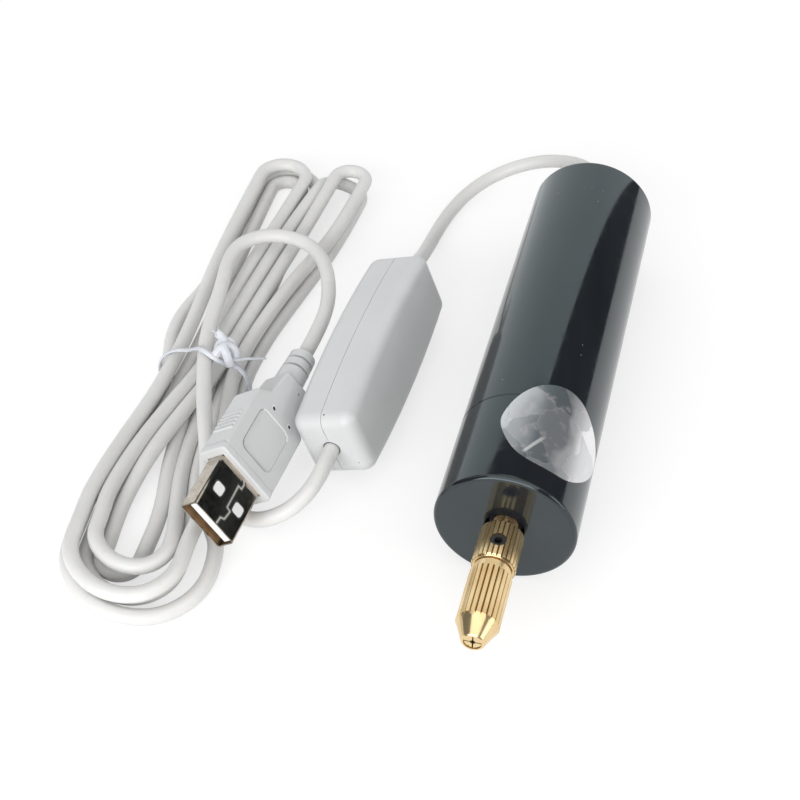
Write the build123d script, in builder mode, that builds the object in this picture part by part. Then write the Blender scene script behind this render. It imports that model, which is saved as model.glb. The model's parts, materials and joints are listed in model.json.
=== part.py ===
from build123d import *
import math
import os

import numpy as np

# A mini drill: a motor in a round tube, a small collet chuck on its shaft, and a limp
# lead that runs through an in-line converter box and a tied hank to a USB plug.
# Millimetres. +Z up, +Y to the drill's rear, the nose to -Y, the origin on the table
# under the middle of the drill.

os.makedirs("parts", exist_ok=True)

# Drill tube
tube_diameter = 28.0
tube_length = 103.5
tube_wall = 1.6
rear_wall = 2.5
rear_rim_radius = 0.8
cap_length = 22.9
face_thickness = 3.0
face_rim_radius = 0.9
face_hole_diameter = 8.0
lap_length = 4.0
lap_wall = 0.75
seam_groove = 0.2
fit_gap = 0.05

# Motor
motor_gap = 0.1
motor_side_gap = 0.2
can_length = 27.0
can_wall = 0.9
can_front = 1.0
boss_diameter = 6.4
boss_length = 1.5
bell_length = 3.7
bell_inset = 1.2
bell_rim_radius = 0.6
shaft_diameter = 2.0
shaft_reach = 7.7
running_gap = 0.03
press_gap = 0.02
front_bush_diameter = 4.8
rear_bush_diameter = 4.4
bush_length = 3.5
magnet_gap = 0.3
magnet_thickness = 2.5
magnet_angle = 130.0
magnet_start = 3.4
pole_count = 3
core_inset = 2.5
core_hub_share = 0.3538
pole_width = 2.4
pole_shoe = 1.2
pole_slot = 2.2
winding_thickness = 1.6
winding_gap = 0.1
winding_clear = 0.3
commutator_diameter = 4.8
commutator_gap = 0.7
commutator_slit = 0.4
brush_gap = 0.15
brush_length = 1.8
brush_width = 2.0
terminal_offset = 8.0
terminal_thickness = 0.5
terminal_width = 2.0
terminal_reach = 2.6
vent_width = 3.0
vent_length = 6.0
vent_place_share = 0.6

# Chuck
chuck_gap = 1.3
chuck_body_diameter = 8.6
chuck_body_length = 8.8
chuck_rim_chamfer = 0.4
knurl_depth = 0.3
knurl_top_share = 0.62
chuck_knurls = 28
spigot_diameter = 6.2
spigot_length = 9.4
shaft_bore_end = 0.3
collet_bore_wall = 0.8
collet_gap = 0.06
nut_gap = 0.3
nut_collar_diameter = 7.2
nut_collar_length = 1.3
nut_diameter = 8.2
nut_grip_length = 11.5
nut_knurls = 24
nut_cone_length = 4.1
nut_cone_root = 8.0
nut_face_diameter = 4.3
nut_face_rim = 0.2
nut_mouth_diameter = 3.4
nut_cone_start = 1.0
thread_gap = 0.08
cone_gap = 0.12
collet_bore = 1.0
collet_shank_diameter = 4.0
collet_slit = 0.25
collet_slit_depth = 12.0
collet_recess = 0.2
collet_tail_gap = 0.6
collet_shoulder_gap = 0.4
screw_distance = 4.8
screw_diameter = 3.0
screw_length = 2.8
screw_hex = 1.5
screw_hex_depth = 1.5
screw_gap = 0.05

# Sticker
sticker_thickness = 0.12
sticker_gap = 0.02
sticker_angle = 32.0

# Rear grommet, and the lead inside the tube
grommet_flange_diameter = 8.0
grommet_flange = 1.2
grommet_neck_diameter = 6.0
grommet_boot_length = 4.5
grommet_boot_diameter = 4.8
grommet_lip = 1.2
inner_lead_length = 24.3
inner_tie_distance = 9.0
inner_tie_width = 2.5
inner_tie_thickness = 0.9
inner_tie_head = 3.0
wire_diameter = 1.2
wire_spread = 0.75

# Lead
cord_diameter = 3.3
cord_gap = 0.45
arc_share = 0.45

# In-line converter box
box_length = 54.8
box_end_width = 15.6
box_crown = 1.7
box_thickness = 14.45
box_edge_radius = 3.0
box_wall = 1.6
box_seam = 0.1
box_centre = (-37.95, 4.96, 10.53)
box_yaw = 2.25
box_pitch = 1.2
box_roll = 19.6
cord_hole_gap = 0.1
cord_in_box = 1.5
board_length = 40.0
board_width = 12.6
board_thickness = 1.0
board_corner = 0.35
board_level = 3.0
post_diameter = 2.2
post_inset = 3.5
part_gap = 0.05
coil_diameter = 8.0
coil_height = 5.0
coil_waist = 5.2
coil_flange = 0.9
capacitor_diameter = 5.0
capacitor_height = 6.4
capacitor_distance = 13.5
chip_length = 4.0
chip_width = 5.0
chip_height = 1.5
chip_place = 7.4
chip_side = 3.0
board_wire_diameter = 1.0
board_wire_spread = 0.9
board_wire_height = 1.2
board_wire_landing = 1.6

# USB plug
collar_centre = (-54.9, -36.9, 12.0)
plug_yaw = 184.3
plug_pitch = -0.3
plug_roll = 143.9
shell_width = 12.0
shell_height = 4.5
shell_length = 12.9
shell_wall = 0.3
shell_seat = 5.0
shell_corner = 0.7
shell_gap = 0.03
shell_hole = 2.3
shell_hole_distance = 6.2
shell_hole_spacing = 6.0
tongue_thickness = 1.85
tongue_recess = 0.3
contact_count = 4
contact_width = 1.0
contact_pitch = 2.3
contact_thickness = 0.05
contact_length = 8.0
mould_width = 15.4
mould_thickness = 7.15
mould_length = 17.7
mould_edge = 1.0
mould_rounding = 0.7
collar_length = 1.6
collar_step = 0.15
collar_rounding = 0.4
shoulder_length = 2.5
neck_width = 8.8
neck_end_width = 6.7
neck_length = 7.5
relief_start_diameter = 6.5
relief_end_diameter = 5.8
plug_length = 36.6
relief_groove_width = 0.8
relief_groove_depth = 0.6
relief_groove_count = 2
relief_groove_pitch = 2.6
relief_end_ring = 1.9
panel_length = 11.4
panel_width = 9.2
panel_corner = 1.6
panel_depth = 0.3
panel_inset = 4.0
grip_count = 5
grip_pitch = 1.1
grip_width = 0.55
grip_height = 0.3
grip_length = 5.2
grip_inset = 6.2

# Hank and its tie
waist_x = -75.4
waist_y = -1.0
waist_step = 4.1
waist_lift = 0.75
bottom_x = -74.5
bottom_y = -51.5
bottom_radii = (14.5, 10.3)
upper_bottom_x = -74.3
upper_bottom_y = -50.5
upper_bottom_radii = (6.2, 10.05, 13.9)
lobe_x = -77.0
lobe_y = 69.0
lobe_radii = (12.2, 8.1, 4.0)
upper_lobe_x = -67.6
upper_lobe_y = 66.0
upper_lobe_radii = (5.0, 8.85)
hank_start_x = -60.0
hank_start_y = -24.5
tie_width = 2.6
tie_thickness = 0.5
tie_rest = 0.1
tie_slack = 0.35
tie_corner = 1.2
knot_width = 3.8
knot_length = 4.4
knot_height = 2.4
knot_rounding = 1.0

# Worked out from the sizes above
tube_radius = tube_diameter / 2
bore_radius = tube_radius - tube_wall
lap_radius = tube_radius - lap_wall
cord_radius = cord_diameter / 2
shaft_radius = shaft_diameter / 2
chuck_body_end = chuck_gap + chuck_body_length
spigot_end = chuck_body_end + spigot_length
nut_start = chuck_body_end + nut_gap
nut_grip_start = nut_start + nut_collar_length
nut_grip_end = nut_grip_start + nut_grip_length
nut_end = nut_grip_end + nut_cone_length
axis_height = tube_radius
disc_y = nut_end - (tube_length + nut_end) / 2

drill_side = Plane(origin=(0, disc_y, axis_height), x_dir=(0, 1, 0), z_dir=(1, 0, 0))
drill_axis = Axis((0, disc_y, axis_height), (0, 1, 0))


def drill_station(behind):
    """The plane square to the drill's axis, so far behind the front disc."""
    return Plane(origin=(0, disc_y + behind, axis_height), x_dir=(1, 0, 0), z_dir=(0, 1, 0))


def ahead_of_disc(distance):
    """The plane square to the axis, so far ahead of the front disc, facing forward."""
    return Plane(origin=(0, disc_y - distance, axis_height), x_dir=(1, 0, 0), z_dir=(0, -1, 0))


def turn(points, mode=Mode.ADD):
    """Turn an outline of (distance behind the disc, radius) points about the axis."""
    with BuildSketch(drill_side) as outline:
        with BuildLine():
            Polyline(*points, close=True)
        make_face()
    revolve(outline.sketch, axis=drill_axis, mode=mode)


def tilted_plane(centre, yaw, pitch, roll):
    """A plane whose X lies along a piece and whose Z is the normal of its broad face."""
    yaw, pitch, roll = math.radians(yaw), math.radians(pitch), math.radians(roll)
    along = Vector(math.sin(yaw) * math.cos(pitch), math.cos(yaw) * math.cos(pitch), math.sin(pitch))
    level = Vector(math.cos(yaw), -math.sin(yaw), 0)
    upright = level.cross(along)
    return Plane(origin=centre, x_dir=along, z_dir=level * math.cos(roll) + upright * math.sin(roll))


def finish(block, name):
    """Label a finished piece and write it."""
    block.part.label = name
    export_step(block.part, f"parts/{name}.step")
    return block.part


# Drill tube, front cap and its round disc

with BuildPart() as main_tube:
    lap_start = cap_length - lap_length + fit_gap
    turn([
        (lap_start, bore_radius),
        (lap_start, lap_radius - fit_gap),
        (cap_length, lap_radius - fit_gap),
        (cap_length, tube_radius - seam_groove),
        (cap_length + seam_groove, tube_radius),
        (tube_length, tube_radius),
        (tube_length, grommet_neck_diameter / 2),
        (tube_length - rear_wall, grommet_neck_diameter / 2),
        (tube_length - rear_wall, bore_radius),
    ])
    rear_rim = main_tube.edges().filter_by(GeomType.CIRCLE).group_by(Axis.Y)[-1].sort_by(
        SortBy.RADIUS)[-1]
    fillet(rear_rim, radius=rear_rim_radius)
finish(main_tube, "main_tube")

with BuildPart() as front_cap:
    turn([
        (0, face_hole_diameter / 2),
        (0, tube_radius),
        (cap_length - seam_groove, tube_radius),
        (cap_length, tube_radius - seam_groove),
        (cap_length, lap_radius),
        (cap_length - lap_length, lap_radius),
        (cap_length - lap_length, bore_radius),
        (face_thickness, bore_radius),
        (face_thickness, face_hole_diameter / 2),
    ])
    face_rim = front_cap.edges().filter_by(GeomType.CIRCLE).group_by(Axis.Y)[0].sort_by(
        SortBy.RADIUS)[-1]
    fillet(face_rim, radius=face_rim_radius)
finish(front_cap, "front_cap")

# Motor: can, magnets, end bell and bushes

can_start = face_thickness + motor_gap
can_end = can_start + can_length
can_radius = bore_radius - motor_side_gap
can_bore = can_radius - can_wall
front_bush_radius = front_bush_diameter / 2
rear_bush_radius = rear_bush_diameter / 2
boss_start = can_start - boss_length
bell_start = can_end - bell_inset
bell_end = can_end + bell_length
bush_bore = shaft_radius + running_gap

with BuildPart() as motor_can:
    turn([
        (boss_start, front_bush_radius + press_gap),
        (boss_start, boss_diameter / 2),
        (can_start, boss_diameter / 2),
        (can_start, can_radius),
        (can_end, can_radius),
        (can_end, can_bore),
        (can_start + can_front, can_bore),
        (can_start + can_front, front_bush_radius + press_gap),
    ])
    with BuildSketch(drill_station(can_start)):
        vent_place = can_radius * vent_place_share
        with Locations((0, vent_place), (0, -vent_place)):
            SlotOverall(vent_length, vent_width)
    extrude(amount=can_front, mode=Mode.SUBTRACT)
finish(motor_can, "motor_can")

with BuildPart() as motor_magnets:
    magnet_front = can_start + magnet_start
    magnet_length = bell_start - magnet_start - magnet_front
    with BuildSketch(drill_station(magnet_front)):
        Circle(can_bore - press_gap)
        Circle(can_bore - press_gap - magnet_thickness, mode=Mode.SUBTRACT)
        with Locations((0, can_bore), (0, -can_bore)):
            Rectangle(
                2 * can_radius,
                2 * (can_bore - can_bore * math.cos(math.radians(magnet_angle / 2))),
                mode=Mode.SUBTRACT,
            )
    extrude(amount=magnet_length)
finish(motor_magnets, "motor_magnets")

with BuildPart() as motor_end_bell:
    turn([
        (bell_start, rear_bush_radius + press_gap),
        (bell_start, can_bore - press_gap),
        (can_end, can_bore - press_gap),
        (bell_end, can_bore - press_gap),
        (bell_end, rear_bush_radius + press_gap),
    ])
    with BuildSketch(drill_station(bell_start)):
        with Locations((terminal_offset, 0), (-terminal_offset, 0)):
            Rectangle(terminal_thickness + 2 * part_gap, terminal_width + 2 * part_gap)
    extrude(amount=bell_end - bell_start, mode=Mode.SUBTRACT)
    fillet(motor_end_bell.edges().filter_by(GeomType.CIRCLE).group_by(Axis.Y)[-1].sort_by(
        SortBy.RADIUS)[-1], radius=bell_rim_radius)
finish(motor_end_bell, "motor_end_bell")


def bush(start, radius):
    turn([
        (start, bush_bore),
        (start, radius),
        (start + bush_length, radius),
        (start + bush_length, bush_bore),
    ])


with BuildPart() as front_bush:
    bush(boss_start, front_bush_radius)
finish(front_bush, "front_bush")

with BuildPart() as rear_bush:
    bush(bell_end - bush_length, rear_bush_radius)
finish(rear_bush, "rear_bush")

# Rotor: shaft, three-pole core, windings and commutator

core_radius = can_bore - press_gap - magnet_thickness - magnet_gap
core_start = magnet_front + core_inset
core_length = magnet_length - 2 * core_inset
core_hub_radius = core_radius * core_hub_share
winding_overhang = winding_thickness + winding_gap
commutator_start = core_start + core_length + winding_overhang + winding_clear
commutator_length = bell_start - commutator_gap - commutator_start
commutator_radius = commutator_diameter / 2
shaft_end = bell_end - part_gap

with BuildPart() as motor_shaft:
    with BuildSketch(ahead_of_disc(shaft_reach)):
        Circle(shaft_radius)
    extrude(amount=-(shaft_reach + shaft_end))
    chamfer(motor_shaft.edges().group_by(Axis.Y)[0], length=shaft_radius / 4)
finish(motor_shaft, "motor_shaft")

with BuildPart() as rotor_core:
    with BuildSketch(drill_station(core_start)):
        Circle(core_radius)
        with PolarLocations(core_radius, pole_count, start_angle=180 / pole_count):
            Rectangle(core_radius, pole_slot, mode=Mode.SUBTRACT)
        Circle(core_radius - pole_shoe, mode=Mode.SUBTRACT)
        Circle(core_hub_radius)
        with PolarLocations(core_radius / 2, pole_count):
            Rectangle(core_radius - pole_shoe, pole_width)
        Circle(shaft_radius + press_gap, mode=Mode.SUBTRACT)
    extrude(amount=core_length)
finish(rotor_core, "rotor_core")

with BuildPart() as rotor_windings:
    winding_inner = core_hub_radius + winding_gap
    winding_side = pole_width / 2 + winding_overhang
    winding_outer = math.sqrt((core_radius - pole_shoe - winding_gap) ** 2 - winding_side ** 2)
    winding_depth = winding_outer - winding_inner
    winding_middle = (winding_outer + winding_inner) / 2
    with BuildSketch(drill_station(core_start - winding_overhang)):
        with PolarLocations(winding_middle, pole_count):
            Rectangle(winding_depth, 2 * winding_side)
    extrude(amount=core_length + 2 * winding_overhang)
    with BuildSketch(drill_station(core_start - winding_gap)):
        with PolarLocations(winding_middle, pole_count):
            Rectangle(winding_depth, pole_width + 2 * winding_gap)
    extrude(amount=core_length + 2 * winding_gap, mode=Mode.SUBTRACT)
finish(rotor_windings, "rotor_windings")

with BuildPart() as commutator:
    with BuildSketch(drill_station(commutator_start)):
        Circle(commutator_radius)
        with PolarLocations(commutator_radius, pole_count):
            Rectangle(commutator_slit * 2, commutator_slit, mode=Mode.SUBTRACT)
        Circle(shaft_radius + press_gap, mode=Mode.SUBTRACT)
    extrude(amount=commutator_length)
finish(commutator, "commutator")

# Brushes on the terminals' inner arms

brush_inner = commutator_radius + brush_gap
brush_middle = commutator_start + commutator_length / 2
brush_outer = brush_inner + brush_length
arm_end = bell_start - part_gap
arm_start = arm_end - terminal_thickness

with BuildPart() as brushes:
    with BuildSketch(drill_station(brush_middle - brush_length / 2)):
        with Locations((brush_inner + brush_length / 2, 0), (-brush_inner - brush_length / 2, 0)):
            Rectangle(brush_length, brush_width)
    extrude(amount=arm_end - brush_middle + brush_length / 2)
finish(brushes, "brushes")

with BuildPart() as motor_terminals:
    blade_inner = terminal_offset - terminal_thickness / 2
    blade_outer = terminal_offset + terminal_thickness / 2
    for side in (1, -1):
        terminal_top = Plane(
            origin=(0, disc_y, axis_height), x_dir=(side, 0, 0), z_dir=(0, 0, -side))
        with BuildSketch(terminal_top):
            with BuildLine():
                Polyline(
                    (brush_outer + part_gap, -arm_start),
                    (blade_outer, -arm_start),
                    (blade_outer, -bell_end - terminal_reach),
                    (blade_inner, -bell_end - terminal_reach),
                    (blade_inner, -arm_end),
                    (brush_outer + part_gap, -arm_end),
                    close=True,
                )
            make_face()
        extrude(amount=terminal_width / 2, both=True)
finish(motor_terminals, "motor_terminals")

# Chuck body: clamped to the shaft by two set screws


def ribbed_bar(start, length, radius, ribs):
    """A bar ahead of the disc with flat-topped ribs between narrow grooves."""
    pitch = 2 * math.pi / ribs
    points = []
    for rib in range(ribs):
        for share, reach in (
            (-knurl_top_share / 2, radius), (knurl_top_share / 2, radius), (0.5, radius - knurl_depth),
        ):
            angle = pitch * (rib + share)
            points.append((reach * math.cos(angle), reach * math.sin(angle)))
    with BuildSketch(ahead_of_disc(start)) as outline:
        with BuildLine():
            Polyline(*points, close=True)
        make_face()
    extrude(outline.sketch, amount=length)


screw_station = chuck_gap + screw_distance
chuck_radius = chuck_body_diameter / 2
collet_bore_radius = collet_shank_diameter / 2 + collet_gap
collet_bore_start = shaft_reach + shaft_bore_end + collet_bore_wall
screw_plane = Plane(origin=(0, disc_y - screw_station, axis_height), z_dir=(0, 0, 1))

with BuildPart() as chuck_body:
    ribbed_bar(chuck_gap, chuck_body_length, chuck_radius, chuck_knurls)
    turn([
        (-chuck_gap, 0),
        (-chuck_gap, chuck_radius - chuck_rim_chamfer),
        (-chuck_gap - chuck_rim_chamfer, chuck_radius),
        (-chuck_body_end + chuck_rim_chamfer, chuck_radius),
        (-chuck_body_end, chuck_radius - chuck_rim_chamfer),
        (-chuck_body_end, 0),
    ], mode=Mode.INTERSECT)
    with BuildSketch(ahead_of_disc(chuck_body_end)):
        Circle(spigot_diameter / 2)
    extrude(amount=spigot_length)
    turn([
        (-chuck_gap, 0),
        (-chuck_gap, shaft_radius + press_gap),
        (-shaft_reach - shaft_bore_end, shaft_radius + press_gap),
        (-shaft_reach - shaft_bore_end, 0),
    ], mode=Mode.SUBTRACT)
    turn([
        (-collet_bore_start, 0),
        (-collet_bore_start, collet_bore_radius),
        (-spigot_end, collet_bore_radius),
        (-spigot_end, 0),
    ], mode=Mode.SUBTRACT)
    with BuildSketch(screw_plane):
        Circle(screw_diameter / 2 + screw_gap)
    extrude(amount=chuck_body_diameter, both=True, mode=Mode.SUBTRACT)
finish(chuck_body, "chuck_body")

with BuildPart() as set_screws:
    for side in (1, -1):
        screw_foot = Plane(
            origin=(0, disc_y - screw_station, axis_height + side * (shaft_radius + press_gap)),
            x_dir=(1, 0, 0), z_dir=(0, 0, side))
        with BuildSketch(screw_foot):
            Circle(screw_diameter / 2)
        extrude(amount=screw_length)
        with BuildSketch(screw_foot.offset(screw_length)):
            RegularPolygon(screw_hex / 2, 6, major_radius=False)
        extrude(amount=-screw_hex_depth, mode=Mode.SUBTRACT)
finish(set_screws, "set_screws")

# Chuck nut and the split collet that it closes

nut_radius = nut_diameter / 2
nut_bore_radius = spigot_diameter / 2 + thread_gap
nut_mouth_radius = nut_mouth_diameter / 2
inner_cone_start = nut_grip_end - nut_cone_start

with BuildPart() as chuck_nut:
    ribbed_bar(nut_start, nut_end - nut_start, nut_radius, nut_knurls)
    turn([
        (-nut_start, 0),
        (-nut_start, nut_collar_diameter / 2),
        (-nut_grip_start, nut_collar_diameter / 2),
        (-nut_grip_start - chuck_rim_chamfer, nut_radius),
        (-nut_grip_end, nut_radius),
        (-nut_grip_end, nut_cone_root / 2),
        (-nut_end + nut_face_rim, nut_face_diameter / 2 + nut_face_rim / 2),
        (-nut_end, nut_face_diameter / 2 - nut_face_rim / 2),
        (-nut_end, 0),
    ], mode=Mode.INTERSECT)
    turn([
        (-nut_start, 0),
        (-nut_start, nut_bore_radius),
        (-inner_cone_start, nut_bore_radius),
        (-nut_end, nut_mouth_radius),
        (-nut_end, 0),
    ], mode=Mode.SUBTRACT)
finish(chuck_nut, "chuck_nut")

collet_rear = collet_bore_start + collet_tail_gap
collet_shoulder = spigot_end + collet_shoulder_gap
collet_front = nut_end - collet_recess
cone_slope = (nut_bore_radius - nut_mouth_radius) / (nut_end - inner_cone_start)
collet_face_radius = nut_mouth_radius + cone_slope * collet_recess - cone_gap

with BuildPart() as collet:
    turn([
        (-collet_rear, collet_bore / 2),
        (-collet_rear, collet_shank_diameter / 2),
        (-collet_shoulder, collet_shank_diameter / 2),
        (-collet_shoulder, nut_bore_radius - cone_gap),
        (-inner_cone_start, nut_bore_radius - cone_gap),
        (-collet_front, collet_face_radius),
        (-collet_front, collet_bore / 2),
    ])
    with BuildSketch(ahead_of_disc(collet_front)):
        Rectangle(collet_slit, nut_diameter)
        Rectangle(nut_diameter, collet_slit)
    extrude(amount=-collet_slit_depth, mode=Mode.SUBTRACT)
finish(collet, "collet")

# Foil sticker that bridges the seam, seen square on from its own middle

sticker_inner = tube_radius + sticker_gap
# Each point of its outline: the angle from the sticker's middle, and the share of cap_length
sticker_shares = (
    (-51, 0.74), (-47, 0.88), (-32, 1.1), (-14, 1.2), (8, 1.19), (28, 1.07), (46, 0.93),
    (51, 0.83), (49, 0.7), (38, 0.51), (26, 0.37), (16, 0.29), (-7, 0.25), (-28, 0.3), (-45, 0.51),
)
tilt = math.radians(sticker_angle)
sticker_plane = Plane(
    origin=(0, disc_y, axis_height), x_dir=(math.cos(tilt), 0, -math.sin(tilt)),
    z_dir=(math.sin(tilt), 0, math.cos(tilt)))

with BuildPart() as label_sticker:
    with BuildSketch(sticker_plane):
        with BuildLine():
            Spline(*[
                (sticker_inner * math.sin(math.radians(angle)), share * cap_length)
                for angle, share in sticker_shares
            ], periodic=True)
        make_face()
    extrude(amount=tube_diameter)
    turn([
        (0, sticker_inner),
        (0, sticker_inner + sticker_thickness),
        (tube_length, sticker_inner + sticker_thickness),
        (tube_length, sticker_inner),
    ], mode=Mode.INTERSECT)
finish(label_sticker, "label_sticker")

# Grommet in the rear wall, and the end of the lead inside the tube

grommet_start = tube_length - rear_wall - grommet_lip
boot_end = tube_length + grommet_flange + grommet_boot_length
grommet_bore = cord_radius + fit_gap

with BuildPart() as rear_grommet:
    turn([
        (grommet_start, grommet_bore),
        (grommet_start, grommet_flange_diameter / 2),
        (tube_length - rear_wall - part_gap, grommet_flange_diameter / 2),
        (tube_length - rear_wall - part_gap, grommet_neck_diameter / 2 - part_gap),
        (tube_length + part_gap, grommet_neck_diameter / 2 - part_gap),
        (tube_length + part_gap, grommet_flange_diameter / 2),
        (tube_length + grommet_flange, grommet_flange_diameter / 2),
        (tube_length + grommet_flange, grommet_boot_diameter / 2 + grommet_lip / 2),
        (boot_end, grommet_boot_diameter / 2),
        (boot_end, grommet_bore),
    ])
finish(rear_grommet, "rear_grommet")

inner_lead_start = boot_end - inner_lead_length

with BuildPart() as inner_cord_end:
    with BuildSketch(drill_station(inner_lead_start)):
        Circle(cord_radius)
    extrude(amount=inner_lead_length)
finish(inner_cord_end, "inner_cord_end")

with BuildPart() as inner_cable_tie:
    tie_ring = cord_radius + part_gap
    with BuildSketch(drill_station(inner_lead_start + inner_tie_distance)):
        Circle(tie_ring + inner_tie_thickness)
        with Locations((0, tie_ring + inner_tie_thickness)):
            Rectangle(inner_tie_head, inner_tie_head)
        Circle(tie_ring, mode=Mode.SUBTRACT)
    extrude(amount=inner_tie_width)
finish(inner_cable_tie, "inner_cable_tie")


def sweep_round(route, radii, diameter):
    """Sweep a round section along straight runs joined by arcs; return the path."""
    with BuildLine(mode=Mode.PRIVATE) as path:
        FilletPolyline(*route, radius=radii)
    wire = path.wires()[0]
    with BuildSketch(Plane(origin=wire @ 0, z_dir=wire % 0)) as section:
        Circle(diameter / 2)
    sweep(section.sketch, path=wire)
    return wire


def cord_radii(route):
    """The largest even arc for each corner that both of its runs leave room for."""
    points = [Vector(*point) for point in route]
    radii = []
    for before, corner, after in zip(points, points[1:], points[2:]):
        entering = corner - before
        leaving = after - corner
        half_turn = math.radians(entering.get_angle(leaving)) / 2
        radii.append(arc_share * min(entering.length, leaving.length) / math.tan(half_turn))
    return radii


def motor_lead(side, name):
    """A wire from a motor terminal to the jacket's cut end."""
    terminal_end = disc_y + bell_end + terminal_reach + part_gap
    jacket_end = disc_y + inner_lead_start - part_gap
    span = jacket_end - terminal_end
    wire_end = side * wire_spread
    wire_start = side * terminal_offset
    route = [
        (wire_start, terminal_end, axis_height),
        (wire_start, terminal_end + span / 4, axis_height + wire_diameter),
        ((wire_start + wire_end) / 2, terminal_end + span / 2, axis_height + wire_diameter),
        (wire_end, terminal_end + span * 3 / 4, axis_height),
        (wire_end, jacket_end, axis_height),
    ]
    with BuildPart() as lead:
        sweep_round(route, cord_radii(route), wire_diameter)
    finish(lead, name)


motor_lead(1, "lead_red")
motor_lead(-1, "lead_black")

# In-line converter box

box_plane = tilted_plane(box_centre, box_yaw, box_pitch, box_roll)
half_length = box_length / 2
half_end = box_end_width / 2
box_inner_height = box_thickness / 2 - box_wall
hole_radius = cord_radius + cord_hole_gap


def box_outline(inset):
    """The barrel-shaped outline of the box, drawn in by a wall."""
    corner_x = half_length - inset
    corner_y = half_end - inset
    with BuildSketch(box_plane) as outline:
        with BuildLine():
            Line((-corner_x, -corner_y), (-corner_x, corner_y))
            ThreePointArc((-corner_x, corner_y), (0, corner_y + box_crown), (corner_x, corner_y))
            Line((corner_x, corner_y), (corner_x, -corner_y))
            ThreePointArc(
                (corner_x, -corner_y), (0, -corner_y - box_crown), (-corner_x, -corner_y))
        make_face()
    return outline.sketch


def box_shell(name, keep, seam):
    """One half of the box: rounded outside, hollow, with half of each lead hole."""
    with BuildPart() as shell:
        extrude(box_outline(0), amount=box_thickness / 2, both=True)
        fillet(shell.edges(), radius=box_edge_radius)
        extrude(box_outline(box_wall), amount=box_inner_height, both=True, mode=Mode.SUBTRACT)
        with BuildSketch(Plane(origin=box_plane.origin, z_dir=box_plane.x_dir)):
            Circle(hole_radius)
        extrude(amount=box_length, both=True, mode=Mode.SUBTRACT)
        split(bisect_by=box_plane.offset(seam), keep=keep)
        if keep == Keep.BOTTOM:
            post_x = board_length / 2 - post_inset
            post_y = board_width / 2 - post_inset / 2
            with BuildSketch(box_plane.offset(-box_inner_height - box_wall / 2)):
                with GridLocations(2 * post_x, 2 * post_y, 2, 2):
                    Circle(post_diameter / 2)
            extrude(amount=box_wall / 2 + box_inner_height - board_level)
    finish(shell, name)


box_shell("box_cover", Keep.TOP, box_seam / 2)
box_shell("box_base", Keep.BOTTOM, -box_seam / 2)

board_bottom = box_plane.offset(-board_level + part_gap)
board_top_level = -board_level + part_gap + board_thickness
board_top = box_plane.offset(board_top_level + part_gap)

with BuildPart() as converter_board:
    with BuildSketch(board_bottom):
        RectangleRounded(board_length, board_width, board_corner)
    extrude(amount=board_thickness)
finish(converter_board, "converter_board")

with BuildPart() as converter_inductor:
    with BuildSketch(board_top):
        Circle(coil_diameter / 2)
    extrude(amount=coil_height)
    with BuildSketch(board_top.offset(coil_flange)):
        Circle(coil_diameter)
        Circle(coil_waist / 2, mode=Mode.SUBTRACT)
    extrude(amount=coil_height - 2 * coil_flange, mode=Mode.SUBTRACT)
finish(converter_inductor, "converter_inductor")

with BuildPart() as converter_capacitors:
    with BuildSketch(board_top):
        with Locations((capacitor_distance, 0), (-capacitor_distance, 0)):
            Circle(capacitor_diameter / 2)
    extrude(amount=capacitor_height)
finish(converter_capacitors, "converter_capacitors")

with BuildPart() as converter_chip:
    with BuildSketch(board_top):
        with Locations((chip_place, chip_side)):
            Rectangle(chip_length, chip_width)
    extrude(amount=chip_height)
finish(converter_chip, "converter_chip")

with BuildPart() as board_wires:
    wire_height = board_top_level + part_gap + board_wire_diameter / 2 + part_gap
    jacket_face = half_length - cord_in_box - part_gap
    landing = board_length / 2 - board_wire_landing
    wire_level = cord_radius / 4
    for end in (1, -1):
        for side in (1, -1):
            wire_route = [
                (end * jacket_face, side * board_wire_spread, wire_level),
                (end * (jacket_face - board_wire_height), side * board_wire_spread, wire_level),
                (end * (landing + board_wire_height), side * board_wire_spread * 2, wire_height),
                (end * landing, side * board_wire_spread * 2, wire_height),
            ]
            placed = [box_plane.from_local_coords(point) for point in wire_route]
            sweep_round(placed, cord_radii(placed), board_wire_diameter)
finish(board_wires, "board_wires")

# USB plug

plug_plane = tilted_plane(collar_centre, plug_yaw, plug_pitch, plug_roll)
plug_end = Plane(origin=plug_plane.origin, x_dir=plug_plane.y_dir, z_dir=plug_plane.x_dir)
mould_radius = mould_width / 2


def plug_profile(points, mode=Mode.ADD):
    """Turn (distance behind the collar, radius) points about the plug's axis."""
    with BuildSketch(plug_plane) as outline:
        with BuildLine():
            Polyline(*[(-behind, radius) for behind, radius in points], close=True)
        make_face()
    revolve(outline.sketch, axis=Axis(plug_plane.origin, plug_plane.x_dir), mode=mode)


def lead_end(behind):
    """A point of the plug's axis so far behind the collar."""
    return plug_plane.from_local_coords((-behind, 0, 0))


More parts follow.
